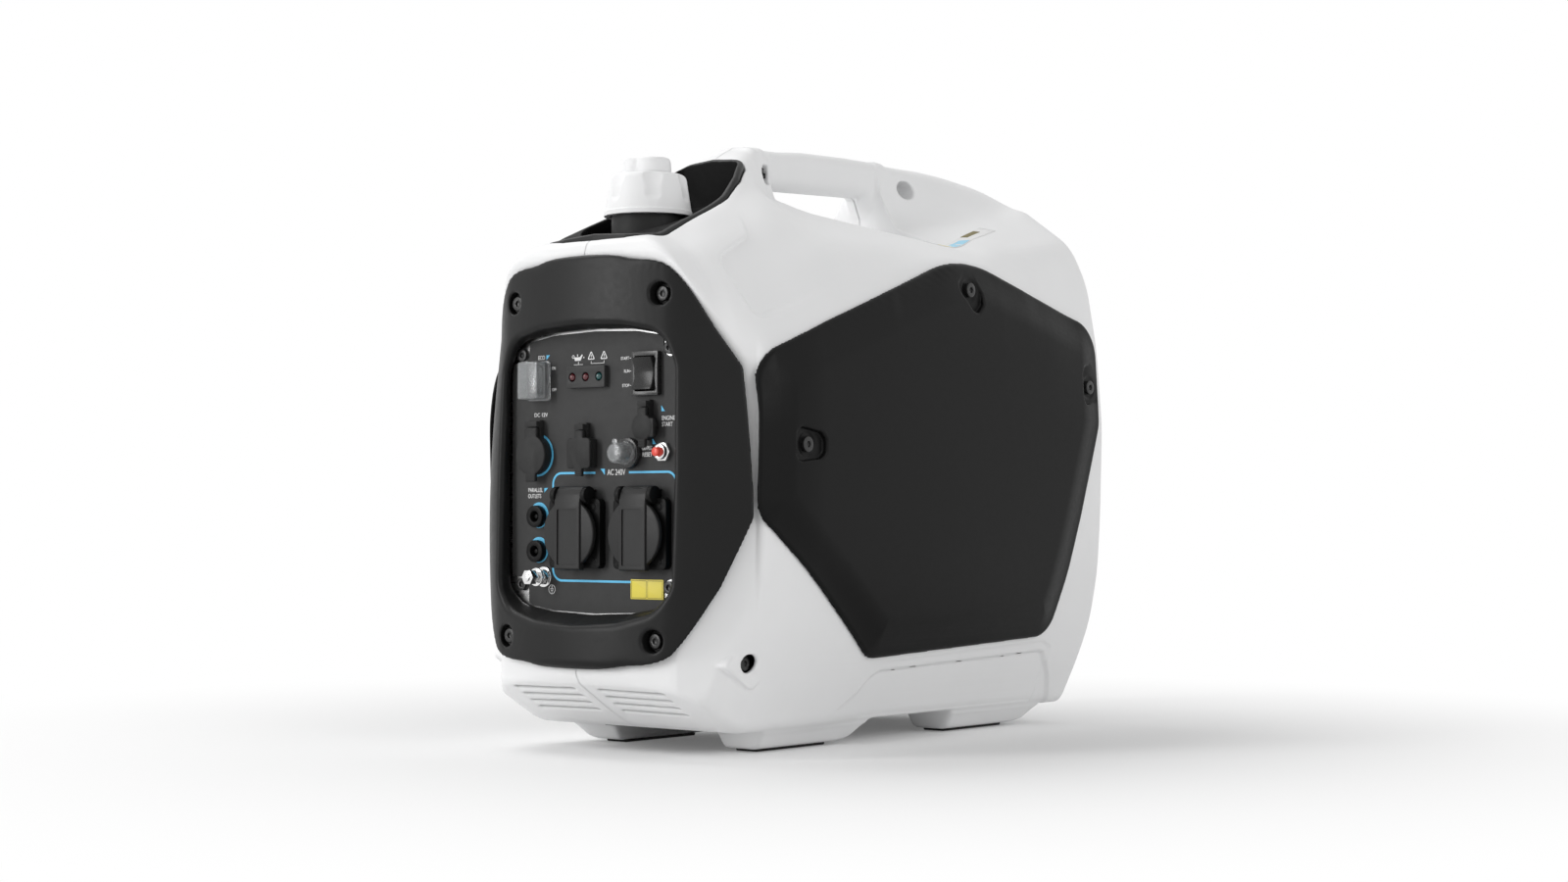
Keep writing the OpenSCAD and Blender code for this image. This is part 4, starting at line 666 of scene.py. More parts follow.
def vent_knob():
    """Three-lobed knob, its lobes rounded over."""
    g = Space((-24, -24, -11), (24, 24, 14), 0.5)
    rad = g.bore(2, (0, 0), 0)
    plan = rad - 12.0
    for i in range(3):
        a = math.radians(-21 + 120 * i)
        plan = smooth_min(plan, g.bore(2, (6.8 * math.cos(a), 6.8 * math.sin(a)), 13.4), 1.5)
    plan = plan + 0.05 * (g.z - 2)
    solid = smooth_max(smooth_max(plan, g.z - 11.5, 2.4), 0.3 - g.z, 1.2)
    dimple = np.sqrt(g.x**2 + g.y**2 + (g.z - 24.5)**2) - 13.6
    solid = without(solid, 1.2, dimple)
    return g, smooth_min(solid, common(rad - 3.95, -9.2 - g.z, g.z - 4), 0.6)


# ---------------------------------------------------------------- mouldings


def points_of(obj):
    """Its points, in metres."""
    co = np.empty(len(obj.data.vertices) * 3, np.float32)
    obj.data.vertices.foreach_get("co", co)
    return co.reshape(-1, 3)


def split_at_seam(obj, x):
    """Keeps what lies beyond x, with the cut closed."""
    bpy.ops.object.select_all(action="DESELECT")
    bpy.ops.mesh.primitive_cube_add(size=2.0, location=(x * MM - 1.0, 0, 0))
    cut_by(obj, bpy.context.object)


def moulded(name, form, limit, seam=None):
    """Mesh of a form, thinned to a limit of triangles, and its shading normals from the field."""
    g, solid = form
    pts, quads = g.skin(solid)
    obj = mesh_object(name, pts, quads)
    if 2 * len(quads) > limit:
        modified(obj, "DECIMATE", ratio=limit / (2 * len(quads)))
    if seam is not None:
        split_at_seam(obj, seam)
    n = g.slope(solid, points_of(obj) / MM)
    n /= np.maximum(np.linalg.norm(n, axis=1, keepdims=True), 1e-6)
    only(obj)
    obj.data.normals_split_custom_set_from_vertices(n.tolist())
    return obj, n


def other_side(obj, name, normals):
    """The mirror image of a piece, with its shading."""
    mesh = bpy.data.meshes.new(name)
    mesh.from_pydata((points_of(obj) * [-1, 1, 1]).tolist(), [],
                     [tuple(reversed(p.vertices[:])) for p in obj.data.polygons])
    mesh.polygons.foreach_set("use_smooth", np.ones(len(mesh.polygons), bool))
    mesh.update()
    twin = only(placed(name, mesh))
    mesh.normals_split_custom_set_from_vertices((normals * [-1, 1, 1]).tolist())
    return twin


# --------------------------------------------------------------- finishes


def plug(tree, sockets, values):
    """Sets sockets to values, or links them where the value is another node's output."""
    for key, value in values.items():
        if isinstance(value, bpy.types.NodeSocket):
            tree.links.new(value, sockets[key])
        else:
            sockets[key].default_value = value


def add_node(tree, kind, inputs=None, **settings):
    """A shader node with its settings and what goes into it."""
    node = settle(tree.nodes.new("ShaderNode" + kind), **settings)
    plug(tree, node.inputs, inputs or {})
    return node


def node_group(name, inputs, outputs):
    """A shared shader group: inputs are (name, type, default), outputs are (name, type)."""
    group = bpy.data.node_groups.new(name, "ShaderNodeTree")
    for label, kind, value in inputs:
        socket = group.interface.new_socket(name=label, in_out="INPUT", socket_type="NodeSocket" + kind)
        socket.default_value = value
    for label, kind in outputs:
        group.interface.new_socket(name=label, in_out="OUTPUT", socket_type="NodeSocket" + kind)
    return group, group.nodes.new("NodeGroupInput").outputs, group.nodes.new("NodeGroupOutput").inputs


def noise(tree, place, scale, detail, roughness=0.55):
    return add_node(tree, "TexNoise", {"Vector": place, "Scale": scale, "Detail": detail,
                                       "Roughness": roughness}).outputs["Fac"]


def build_moulded_grain():
    """Fine pebbled height of a moulded surface, with a slow and a fine mask."""
    group, start, end = node_group("moulded_grain",
                                   [("Grain Scale", "Float", 1500.0), ("Flow Scale", "Float", 7.0)],
                                   [("Height", "Float"), ("Flow", "Float"), ("Fine", "Float")])
    place = add_node(group, "TexCoord").outputs["Object"]
    plug(group, end, {"Height": noise(group, place, start["Grain Scale"], 2.0, 0.6),
                      "Flow": noise(group, place, start["Flow Scale"], 3.0),
                      "Fine": noise(group, place, 210.0, 4.0, 0.7)})
    return group


def build_two_tone():
    """A colour and a roughness that drift between two values."""
    group, start, end = node_group(
        "two_tone", [("Light", "Color", (0.8, 0.8, 0.8, 1)), ("Deep", "Color", (0.7, 0.7, 0.7, 1)),
                     ("Smooth", "Float", 0.3), ("Rough", "Float", 0.5), ("Flow", "Float", 0.5),
                     ("Fine", "Float", 0.5)],
        [("Color", "Color"), ("Roughness", "Float")])
    middle = {"From Min": 0.3, "From Max": 0.7}
    spread = add_node(group, "MapRange", {**middle, "Value": start["Flow"]}).outputs["Result"]
    mix = add_node(group, "Mix", {"Factor": spread, 6: start["Light"], 7: start["Deep"]}, data_type="RGBA")
    gloss = add_node(group, "MapRange", {**middle, "Value": start["Fine"], "To Min": start["Smooth"],
                                         "To Max": start["Rough"]})
    plug(group, end, {"Color": mix.outputs[2], "Roughness": gloss.outputs["Result"]})
    return group


def build_brushed_lines():
    """Long fine scratches along one way, as rolled or turned metal has."""
    group, start, end = node_group("brushed_lines", [("Stretch", "Vector", (20.0, 900.0, 900.0))],
                                   [("Height", "Float"), ("Streak", "Float")])
    place = add_node(group, "TexCoord").outputs["Object"]
    stretch = add_node(group, "VectorMath", {0: place, 1: start["Stretch"]}, operation="MULTIPLY")
    lines = noise(group, stretch.outputs[0], 1.0, 3.0)
    plug(group, end, {"Height": lines, "Streak": lines})
    return group


GRAIN, TWO_TONE, BRUSHED = build_moulded_grain(), build_two_tone(), build_brushed_lines()
SPEC = "Specular IOR Level"


def rgba(colour):
    return (*(colour if isinstance(colour, tuple) else (colour,) * 3), 1.0)


def finish(name, light, deep, rough, grain, shine=None, brushed=None):
    """A material: two close colours, a roughness range, the scale and strength of its grain,
    other values of the shader, and the stretch of brushed lines."""
    material = bpy.data.materials.new(name)
    material.use_nodes = True
    tree = material.node_tree
    surface = add_node(tree, "Group", {"Grain Scale": grain[0], "Flow Scale": 7.0}, node_tree=GRAIN).outputs
    height, fine = surface["Height"], surface["Fine"]
    if brushed:
        lines = add_node(tree, "Group", {"Stretch": brushed}, node_tree=BRUSHED).outputs
        height, fine = lines["Height"], lines["Streak"]
    tone = add_node(tree, "Group", {"Light": rgba(light), "Deep": rgba(deep), "Smooth": rough[0],
                                    "Rough": rough[1], "Flow": surface["Flow"], "Fine": fine},
                    node_tree=TWO_TONE).outputs
    bump = add_node(tree, "Bump", {"Strength": grain[1], "Distance": 0.001, "Height": height})
    plug(tree, tree.nodes["Principled BSDF"].inputs,
         {"Normal": bump.outputs["Normal"], "Base Color": tone["Color"], "Roughness": tone["Roughness"],
          **(shine or {})})
    return material


FINISHES = {
    "shell_white": ((0.83, 0.832, 0.835), (0.80, 0.802, 0.806), (0.42, 0.52), (1100, 0.03), {SPEC: 0.3}),
    "bezel_black": (0.009, 0.007, (0.34, 0.42), (1700, 0.03), {SPEC: 0.18}),
    "cover_black": (0.006, 0.005, (0.34, 0.42), (1700, 0.03), {SPEC: 0.1}),
    # painted shade: a darker, duller copy of the tray's black for its inside faces, standing in for the shade
    # in the basin
    "tray_painted_shade": (0.004, 0.003, (0.5, 0.6), (1700, 0.03), {SPEC: 0.06}),
    "trim_black": (0.022, 0.018, (0.38, 0.46), (1700, 0.03), {SPEC: 0.15}),
    "panel_print": (0.034, 0.03, (0.5, 0.6), (2600, 0.04), {SPEC: 0.25}),
    "zinc_plate": (0.52, 0.47, (0.24, 0.36), (900, 0.03), {"Metallic": 1.0}, (30.0, 900.0, 900.0)),
    "switch_black": (0.02, 0.016, (0.24, 0.32), (1900, 0.02), {SPEC: 0.45}),
    "cap_rubber": (0.02, 0.016, (0.48, 0.6), (1400, 0.06), {SPEC: 0.22}),
    "mains_black": (0.016, 0.013, (0.38, 0.46), (1700, 0.03), {SPEC: 0.24}),
    "clear_silicone": ((0.9, 0.92, 0.93), (0.86, 0.88, 0.89), (0.12, 0.2), (500, 0.03),
                       {"Transmission Weight": 0.9, "IOR": 1.41}),
    "lamp_red": ((0.12, 0.004, 0.01), (0.08, 0.003, 0.008), (0.06, 0.12), (300, 0.01), {"Coat Weight": 0.6}),
    "button_red": ((0.80, 0.08, 0.05), (0.72, 0.06, 0.04), (0.25, 0.33), (900, 0.02)),
    "socket_black": (0.005, 0.004, (0.4, 0.48), (1700, 0.03), {SPEC: 0.12}),
    "panel_block": (0.04, 0.036, (0.45, 0.55), (1900, 0.03), {SPEC: 0.22}),
    "rocker_black": (0.012, 0.009, (0.24, 0.31), (1900, 0.01), {SPEC: 0.3}),
    "lamp_green": ((0.01, 0.09, 0.09), (0.006, 0.06, 0.06), (0.06, 0.12), (300, 0.01), {"Coat Weight": 0.6}),
    "print_cyan": ((0.12, 0.55, 0.85), (0.11, 0.5, 0.8), (0.5, 0.6), (1500, 0.02)),
    "print_white": (0.8, 0.76, (0.5, 0.6), (1500, 0.02)),
    "label_blue": ((0.35, 0.68, 0.86), (0.32, 0.64, 0.82), (0.4, 0.5), (1500, 0.02)),
    "plate_yellow": ((0.85, 0.72, 0.09), (0.8, 0.67, 0.08), (0.4, 0.5), (1500, 0.02)),
    "plate_line": ((0.16, 0.13, 0.03), (0.13, 0.11, 0.03), (0.5, 0.6), (1500, 0.02)),
    "rope_black": (0.03, 0.02, (0.6, 0.8), (2400, 0.3)),
    "bright_metal": (0.80, 0.74, (0.10, 0.2), (700, 0.02), {"Metallic": 1.0}),
    "screw_black": (0.02, 0.015, (0.3, 0.4), (1300, 0.04), {"Metallic": 0.2}),
    "cast_alloy": (0.56, 0.48, (0.4, 0.55), (600, 0.12), {"Metallic": 1.0}),
    "turned_steel": (0.5, 0.44, (0.25, 0.38), (900, 0.03), {"Metallic": 1.0}, (700.0, 40.0, 700.0)),
    "copper_coils": ((0.62, 0.28, 0.10), (0.5, 0.2, 0.07), (0.25, 0.4), (500, 0.2), {"Metallic": 0.8}),
    "heat_steel": (0.32, 0.25, (0.45, 0.6), (500, 0.08), {"Metallic": 0.9}),
    "glazed_white": ((0.85, 0.84, 0.8), (0.8, 0.79, 0.75), (0.1, 0.18), (300, 0.01)),
    "yellow_plastic": ((0.8, 0.52, 0.04), (0.72, 0.45, 0.03), (0.3, 0.4), (1200, 0.03)),
}
MATERIALS = {name: finish(name, *values) for name, values in FINISHES.items()}
# finishes of the slots that have no finish of their own name
SLOT_FINISH = {
    "shell": "shell_white", "black_shell": "trim_black", "plate": "zinc_plate",
    "clear_rubber": "clear_silicone", "dark_rubber": "cap_rubber", "red_button": "button_red",
    "screw": "screw_black", "alloy": "cast_alloy", "forging": "turned_steel", "copper": "copper_coils",
    "dull_steel": "heat_steel", "ceramic": "glazed_white", "yellow": "yellow_plastic"}


def paint(obj, look):
    obj.data.materials.clear()
    obj.data.materials.append(MATERIALS[look])


def second_look(obj, look, chosen):
    """Gives another finish to the faces that chosen picks by their middle."""
    obj.data.materials.append(MATERIALS[look])
    for face in obj.data.polygons:
        if chosen(face.center):
            face.material_index = 1


def stand(obj, look, body="case", *nodes):
    """Gives a piece its finish and its body, and hides the nodes that it stands for."""
    paint(obj, look)
    if nodes:
        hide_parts(*nodes)
    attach(obj, body)
    return obj


for part in frame["record"]["subparts"]:
    node, slot = frame["nodes"].get(part.get("node")), part["material_slot"]
    if node is not None:
        paint(node, SLOT_FINISH.get(slot, slot))

# --------------------------------------------------- housing, covers and cap

housing_right, shading = moulded("housing_shell_right", housing_half(), 190000, seam=SEAM)
stand(other_side(housing_right, "housing_shell_left", shading), "shell_white", "case", "housing_left")
stand(housing_right, "shell_white", "case", "housing_right")
bezel, _ = moulded("bezel_moulding", front_bezel(), 190000)
stand(bezel, "bezel_black", "case", "front_bezel")
cover, _ = moulded("engine_cover_right", side_cover(False), 150000)
stand(cover, "cover_black", "case", "side_cover_right")
form, shading = moulded("engine_cover_left_form", side_cover(True), 150000)
stand(other_side(form, "engine_cover_left", shading), "cover_black", "case", "side_cover_left")
bpy.data.objects.remove(form)
trim, _ = moulded("filler_tray", fuel_trim(), 150000)
stand(trim, "trim_black", "case", "fuel_trim")
for name, node, make, limit, z in (("filler_cap", "fuel_cap", fuel_cap, 120000, CAP_Z),
                                   ("vent_dial", "vent_knob", vent_knob, 60000, CAP_Z + CAP_TOP)):
    obj, _ = moulded(name, make(), limit)
    obj.data.transform(Matrix.Translation(Vector((*FILLER, z)) * MM))
    stand(obj, "shell_white", node, node)


def in_tray(middle):
    """Whether a place lies inside the tray's rim."""
    edge = [(x * 0.915, (y - f - 92) * 0.935 + f + 92) for x, y in TRIM_PLAN]
    x, y = middle.x / MM, middle.y / MM
    crossings = sum(1 for (xa, ya), (xb, yb) in zip(edge, edge[1:] + edge[:1])
                    if (ya > y) != (yb > y) and x < xa + (y - ya) * (xb - xa) / (yb - ya))
    return crossings % 2


# the faces inside the tray's rim take the darker black: painted shade in the basin
second_look(trim, "tray_painted_shade", in_tray)

# ------------------------------------------------------- pieces by hand


def edges_softened(obj, width, angle=35, segments=2):
    """Rounds the edges sharper than angle and shades the rest smooth."""
    modified(obj, "BEVEL", width=width * MM, segments=segments, limit_method="ANGLE",
             angle_limit=math.radians(angle), miter_outer="MITER_ARC")
    return smooth_shaded(obj)


def copied(node, name):
    """A copy of a solid with its triangles joined."""
    obj = placed(name, frame["nodes"][node].data.copy())
    return edited(obj, join_points, lambda: bpy.ops.mesh.dissolve_limited(angle_limit=math.radians(0.6)),
                  face_outward)


def joined(obj, *others):
    only(obj)
    for other in others:
        other.select_set(True)
    if others:
        bpy.ops.object.join()
    return obj


def reworked(node, name, look, body="case", width=0.4, extra=()):
    """A solid with its edges rounded, joined with what is added to it."""
    return stand(joined(edges_softened(copied(node, name), width), *extra), look, body, node)


def rework_all(rows):
    for row in rows:
        reworked(*row)


def slab(name, outline, way, width=0.4, angle=35, segments=2):
    """Solid between an outline and the same outline moved by way, its edges rounded."""
    obj = edited(mesh_object(name, outline, [list(range(len(outline)))]), pushed(way), face_outward)
    return edges_softened(obj, width, angle, segments) if width else obj


def tile(name, outline, y, thick, width, **more):
    """Slab of an (x, z) outline from y to the front."""
    return slab(name, [(x, y, z) for x, z in outline], (0, -thick, 0), width, **more)


def turned(name, at, y, profile, steps=48):
    """Piece turned about an axis to the front: profile of (radius, distance out)."""
    mesh = bpy.data.meshes.new(name)
    mesh.from_pydata([((at[0] + rad) * MM, (y - out) * MM, at[1] * MM) for rad, out in profile],
                     [(i, i + 1) for i in range(len(profile) - 1)], [])
    obj = edited(placed(name, mesh),
                 lambda: bpy.ops.mesh.spin(steps=steps, angle=TAU, center=(at[0] * MM, 0, at[1] * MM),
                                           axis=(0, 1, 0)),
                 join_points, face_outward)
    return smooth_shaded(obj)


def upright(curve, name, y, thick, at=(0, 0), width=None):
    """A flat curve made a mesh, stood up to face the front with its face at y."""
    only(placed(name, settle(curve, dimensions="2D", fill_mode="BOTH")))
    bpy.ops.object.convert(target="MESH")
    obj = bpy.context.object
    if width:
        obj.data.transform(Matrix.Diagonal((width * MM / obj.dimensions.x, 1, 1, 1)))
    edited(obj, join_points, pushed((0, 0, -thick)), face_outward)
    place = Matrix.Translation((at[0] * MM, y * MM, at[1] * MM)) @ Matrix.Rotation(math.radians(90), 4, "X")
    obj.data.transform(place)
    return obj


def flat_piece(name, outlines, y, thick):
    """Flat piece facing the front; the outlines inside the first are its holes."""
    curve = bpy.data.curves.new(name, "CURVE")
    for outline in outlines:
        line = curve.splines.new("POLY")
        line.points.add(len(outline) - 1)
        for point, (x, z) in zip(line.points, outline):
            point.co = (x * MM, z * MM, 0, 1)
        line.use_cyclic_u = True
    return upright(curve, name, y, thick)


# ---------------------------------------------------------- control panel

ECO, ENGINE, LAMPS = (-55.0, h - 189.5), (51.0, h - 187.5), (-6.0, h - 188.0)
DC, USB, START = (-57.0, 215.5), (-9.0, 216.0), (52.0, 233.5)
BREAKER, RESET, STUD = (34.0, 215.5), (66.4, 216.0), (-50.0, 126.7)
JACKS = [(-56.0, 145.4), (-56.0, 170.7)]
MAINS = [(-14.7, 158.4), (48.3, 158.4)]
HINGE_RISE = 27.5       # from the middle of a mains socket to its hinge
FLANGE_Y, FLANGE_SCREWS = PANEL_Y - 5.4, (-19.5, 19.5)
PRINT_Y, PRINT_THICK = PANEL_Y - 0.12, 0.3
CAP_FACE = PANEL_Y - 8.05
HALF_FACE = [(0, 303.7), (40, 302.2), (61, 298.9), (65.6, 297.7, 2.5), (65.8, 283.2, 6), (82.4, 283.0, 3),
             (82.9, 276), (83, 200), (82.9, 133), (82.4, 126.8, 3), (65.8, 126.8, 6), (65.6, 107.2, 2.5),
             (61, 105.8), (40, 102.6), (0, 101.2)]
STRAP_SIDE = [(-6.1, -8.2), (-5.75, -4.2), (-4.7, 0.4), (-2.8, 4.0), (-0.6, 6.2), (1.4, 6.6, 3),
              (2.8, 5.2, 3), (3.0, 2.6), (2.4, -0.4), (0.9, -2.8), (-1.05, -4.6), (-1.05, -53.5, 0.5),
              (-6.1, -53.5, 1.6)]
SCREW = [(0.01, 1.1), (1.2, 1.1), (1.5, 0.7), (2.2, 0.9), (3.4, 0.4), (3.6, 0)]
BOOT = [(6.2, -0.5), (8.9, -0.5), (9.1, 0.2), (8.8, 1.6), (8.0, 2.3), (7.3, 2.9), (7.1, 4.5), (7.3, 11.2),
        (7.0, 12.6), (6.2, 13.3), (4.5, 13.6), (0.01, 13.7), (0.01, 12.7), (4.3, 12.6), (5.7, 12.3),
        (6.1, 11.3), (6.1, 4.0), (6.2, -0.5)]

# printed face: its corners leave the steel bare round the screws
holes = [block(at, a, b, 0.5) for at, a, b in ((ECO, 16.3, 24.3), (ENGINE, 22.3, 28.3), (LAMPS, 33.3, 11.8),
                                               (USB, 18.3, 15.3))]
holes += [ring_outline(at, rad) for at, rad in ((DC, 12.65), (START, 7.15), (BREAKER, 8.15), (RESET, 5.45),
                                                (STUD, 3.15), *((at, 7.15) for at in JACKS),
                                                *((at, 21.15) for at in MAINS))]
whole = arc_corners(HALF_FACE + [(-p[0], *p[1:]) for p in HALF_FACE[-2:0:-1]], 0)
stand(flat_piece("panel_face", [whole] + holes, PANEL_Y, 0.8), "panel_print", "case", "panel_overlay")


def mains_cover(name, node, at):
    """Round cover with a recessed strap that bends back over the hinge."""
    disc = tile(name, ring_outline(at, 24.5, 72), PANEL_Y - 9.05, 3.6, 0.9, segments=3)
    strap = slab(name + "_strap", [(at[0] - 12.3, PANEL_Y - 8 + a, at[1] + HINGE_RISE + b)
                                   for a, b in arc_corners(STRAP_SIDE, 2)], (24.6, 0, 0), 1.0, 50, 3)
    recess = tile(name + "_recess", block((at[0] - 0.2, at[1] - 2.5), 19, 40, 1.2),
                  PANEL_Y - 14.05 + 0.9, 4, 0)
    cut_by(strap, recess)
    smooth_shaded(strap, 35)
    return stand(joined(disc, strap), "mains_black", name, node)


def hinge_cheek(x, z):
    """Round boss at one end of a hinge, on a foot that reaches the flange."""
    foot = PANEL_Y - 0.4
    outline = [(PANEL_Y - 8 + 6.4 * math.cos(a), z + HINGE_RISE + 6.4 * math.sin(a))
               for a in np.linspace(-2.2, 3.6, 22)]
    outline = [(y, zz) for y, zz in outline if y < foot] + [(foot, z + 32), (foot, z + 17)]
    outline.sort(key=lambda p: math.atan2(p[1] - z - 27, p[0] - PANEL_Y + 5))
    return slab("cheek", [(x, y, zz) for y, zz in outline], (4.2, 0, 0), 0.8, 45, 2)


def mains_sockets():
    """Both sockets; their ears give way to round hinge bosses."""
    top = (0, 0, (MAINS[0][1] + 25.05) * MM)
    obj = edited(copied("ac_sockets", "mains_sockets"),
                 lambda: bpy.ops.mesh.bisect(plane_co=top, plane_no=(0, 0, 1), use_fill=True,
                                             clear_outer=True, threshold=1e-6))
    edges_softened(obj, 0.5)
    cheeks = [hinge_cheek(x + side, z) for x, z in MAINS for side in (-17.0, 12.8)]
    screws = [turned("flange_screw", (x + dx, z + dz), FLANGE_Y, SCREW, 24)
              for x, z in MAINS for dx in FLANGE_SCREWS for dz in FLANGE_SCREWS]
    return stand(joined(obj, *cheeks, *screws), "socket_black", "case", "ac_sockets", "hinge_pins")


def rocker(name, node, at, half_w, half_h, proud, dip):
    """Rocker with a hollow face, its ends standing proud."""
    face = [(-proud - dip * (abs(t) ** 1.7), half_h * t) for t in np.linspace(1, -1, 17)]
    back = [(-0.6, -half_h), (2.4, -4), (2.4, 4), (-0.6, half_h)]
    outline = [(at[0] - half_w, PANEL_Y + a, at[1] + b) for a, b in face + back]
    return stand(slab(name, outline, (2 * half_w, 0, 0), 0.6, 45, 3), "rocker_black", node, node)


def tab_ribs(at, width, drop):
    """Three grip ribs across the lower tab of a cap."""
    return [tile("rib", block((at[0], at[1] - drop - 1.9 * i), width, 0.8, 0.3), CAP_FACE + 0.1, 0.7, 0.2)
            for i in range(3)]


mains_sockets()
for cover_name, at in zip(("ac_cover_left", "ac_cover_right"), MAINS):
    mains_cover(cover_name, cover_name, at)
rocker("engine_rocker_key", "engine_rocker", ENGINE, 9.0, 11.4, 4.6, 3.4)
# solid, piece, finish, body, width of its rounded edges, and what is added to it
rework_all([
    ("engine_switch", "engine_switch_frame", "switch_black", "case", 0.7),
    ("eco_switch", "eco_switch_frame", "switch_black"),
    ("eco_rocker", "eco_rocker_key", "rocker_black", "eco_rocker"),
    ("eco_boot", "eco_rain_boot", "clear_silicone", "case", 1.1)])

lamp_front = flat_piece("lamp_block", [block(LAMPS, 37, 15.5, 1.0)]
                        + [ring_outline((LAMPS[0] + 13 * i, LAMPS[1]), 3.4, 32) for i in (-1, 0, 1)],
                        PANEL_Y - 4, 4.2)
edges_softened(lamp_front, 0.45, 50)
lamp_floor = tile("lamp_floor", block(LAMPS, 33, 11.5, 0.5), PANEL_Y + 6, 6, 0)
stand(joined(lamp_front, lamp_floor), "panel_block", "case", "indicator_block")
lamps = stand(copied("indicator_lamps", "warning_lamps"), "lamp_red", "case", "indicator_lamps")
smooth_shaded(lamps, 50)
second_look(lamps, "lamp_green", lambda middle: middle.x > (LAMPS[0] + 6.5) * MM)

usb_frame = tile("usb_frame", block(USB, 15, 14.5, 2.2), CAP_FACE + 0.3, 0.6, 0.25)
start_square = tile("start_square", block((START[0] + 5.2, START[1] - 0.4), 11.5, 13, 1.2),
                    CAP_FACE + 3, 3.1, 0.5)
knurled = tile("breaker_ring", ring_outline(BREAKER, (11.2, 10.6), 72), PANEL_Y, 4.4, 0.35, angle=60)
rework_all([
    ("dc_socket", "dc_socket_body", "cap_rubber", "case", 0.6),
    ("usb_port", "usb_port_body", "cap_rubber", "case", 0.6),
    ("start_port", "start_port_body", "cap_rubber", "case", 0.6),
    ("dc_cap", "dc_socket_cap", "cap_rubber", "dc_cap", 0.7),
    ("usb_cap", "usb_port_cap", "cap_rubber", "usb_cap", 0.7, [usb_frame, *tab_ribs(USB, 6.4, 12.2)]),
    ("start_cap", "start_port_cap", "cap_rubber", "start_cap", 0.7,
     [start_square, *tab_ribs(START, 5.6, 9.6)]),
    ("breaker", "breaker_body", "switch_black", "case", 0.4, [knurled])])
boot = turned("breaker_rain_boot", BREAKER, PANEL_Y - 4.0, BOOT)
nub = tile("boot_nub", block((BREAKER[0] - 0.4, BREAKER[1] + 8.2), 3.4, 3.2, 1), PANEL_Y - 15, 1.6, 0.5)
stand(joined(boot, nub), "clear_silicone", "case", "breaker_boot")
rework_all([
    ("breaker_button", "breaker_push", "cap_rubber", "breaker_button"),
    ("reset_bush", "reset_nut", "bright_metal", "case", 0.6),
    ("reset_button", "reset_push", "button_red", "reset_button", 0.9),
    ("parallel_outlets", "outlet_jacks", "socket_black", "case", 0.6),
    ("ground_terminal", "ground_stud", "bright_metal", "case", 0.5),
    ("panel_screws", "panel_screw_heads", "screw_black", "case", 0.6),
    ("bezel_screws", "bezel_screw_heads", "screw_black", "case", 0.6),
    ("side_cover_screws", "cover_screw_heads", "screw_black", "case", 0.6),
    ("housing_screws", "housing_screw_heads", "screw_black", "case", 0.6),
    ("rear_cover", "rear_panel", "trim_black", "case", 1.0),
    ("rubber_feet", "rubber_pads", "cap_rubber", "case", 1.0),
    ("recoil_grip", "starter_grip", "cap_rubber", "recoil_grip", 1.6)])

# ------------------------------------------------------------------ prints


def printed(name, outlines, look, pieces=()):
    """Marks of one colour laid on the printed face."""
    marks = [flat_piece(name + "_mark", o, PRINT_Y, PRINT_THICK) for o in outlines]
    obj = joined(*pieces, *marks)
    obj.name = name
    return stand(obj, look, "case")


CAPITAL = 0.70      # height of a capital letter in a font of size 1


def label(text, at, height, width):
    """Lettering of one line about a middle."""
    curve = settle(bpy.data.curves.new("mark", "FONT"), body=text, size=height * MM / CAPITAL,
                   align_x="CENTER", align_y="CENTER", offset=0.00006)
    return upright(curve, "mark", PRINT_Y, PRINT_THICK, at, width)


def strip(points, width=1.6):
    """Outline of a printed line of even width along points."""
    pts = np.array(points, float)
    way = np.gradient(pts, axis=0)
    way /= np.linalg.norm(way, axis=1, keepdims=True)
    side = np.stack([-way[:, 1], way[:, 0]], axis=1) * width / 2
    return [tuple(p) for p in np.concatenate([pts + side, (pts - side)[::-1]])]


left, right, top, bottom = -41.5, 77.6, 202.0, 124.3      # frame round the mains sockets
cyan = [[strip(arc_corners([(0.4, top, 0), (left, top, 8), (left, bottom, 9), (35.5, bottom, 0)], 8))],
        [strip(arc_corners([(33.0, top, 0), (right, top, 8), (right, 128.0, 0)], 8))]]
cyan += [[ring_outline((x + 0.4, z + 0.9), 9.4), ring_outline((x, z), 7.4)] for x, z in JACKS]
cyan.append([ring_outline(DC, 15.7), ring_outline((DC[0] - 0.6, DC[1]), 14.3)])
cyan.append([[(5.4, 204.8), (9.6, 200.4), (9.6, 204.8)]])
cyan += [[[(x, z), (x, z + b), (x + a, z + b)]] for x, z, a, b in ((-48.6, 284.8, 3.4, 3.4),
                                                                   (-50.4, 188.0, 3.6, 3.4))]
cyan += [[[(x, z), (x + 3.2, z), (x, z + 4.2)]] for x, z in ((63.7, 244.6), (55.4, 221.6))]
printed("panel_lines", cyan, "print_cyan")

# text, middle, height and width
letters = [label(*row) for row in (
    ("AC 240V", (20.8, top), 4.2, 17.6), ("ECO", (-53.6, 286.4), 3.0, 6.6), ("ON", (-41.2, 278.4), 2.1, 3.6),
    ("OFF", (-40.6, 262.8), 2.1, 4.2), ("START", (29.0, 283.0), 2.2, 8.0), ("RUN", (30.8, 273.8), 2.2, 5.2),
    ("STOP", (29.8, 263.6), 2.2, 6.8), ("DC 12V", (-54.0, 244.6), 2.8, 13.4),
    ("ENGINE", (70.2, 239.6), 3.0, 12.0), ("START", (69.2, 235.2), 3.0, 10.0),
    ("RESET", (50.4, 214.2), 3.0, 9.4), ("OUTPUT", (50.2, 218.8), 2.8, 9.6),
    ("PARALLEL", (-59.4, 189.8), 3.0, 14.6), ("OUTLETS", (-60.2, 185.4), 3.0, 13.2))]
white = []
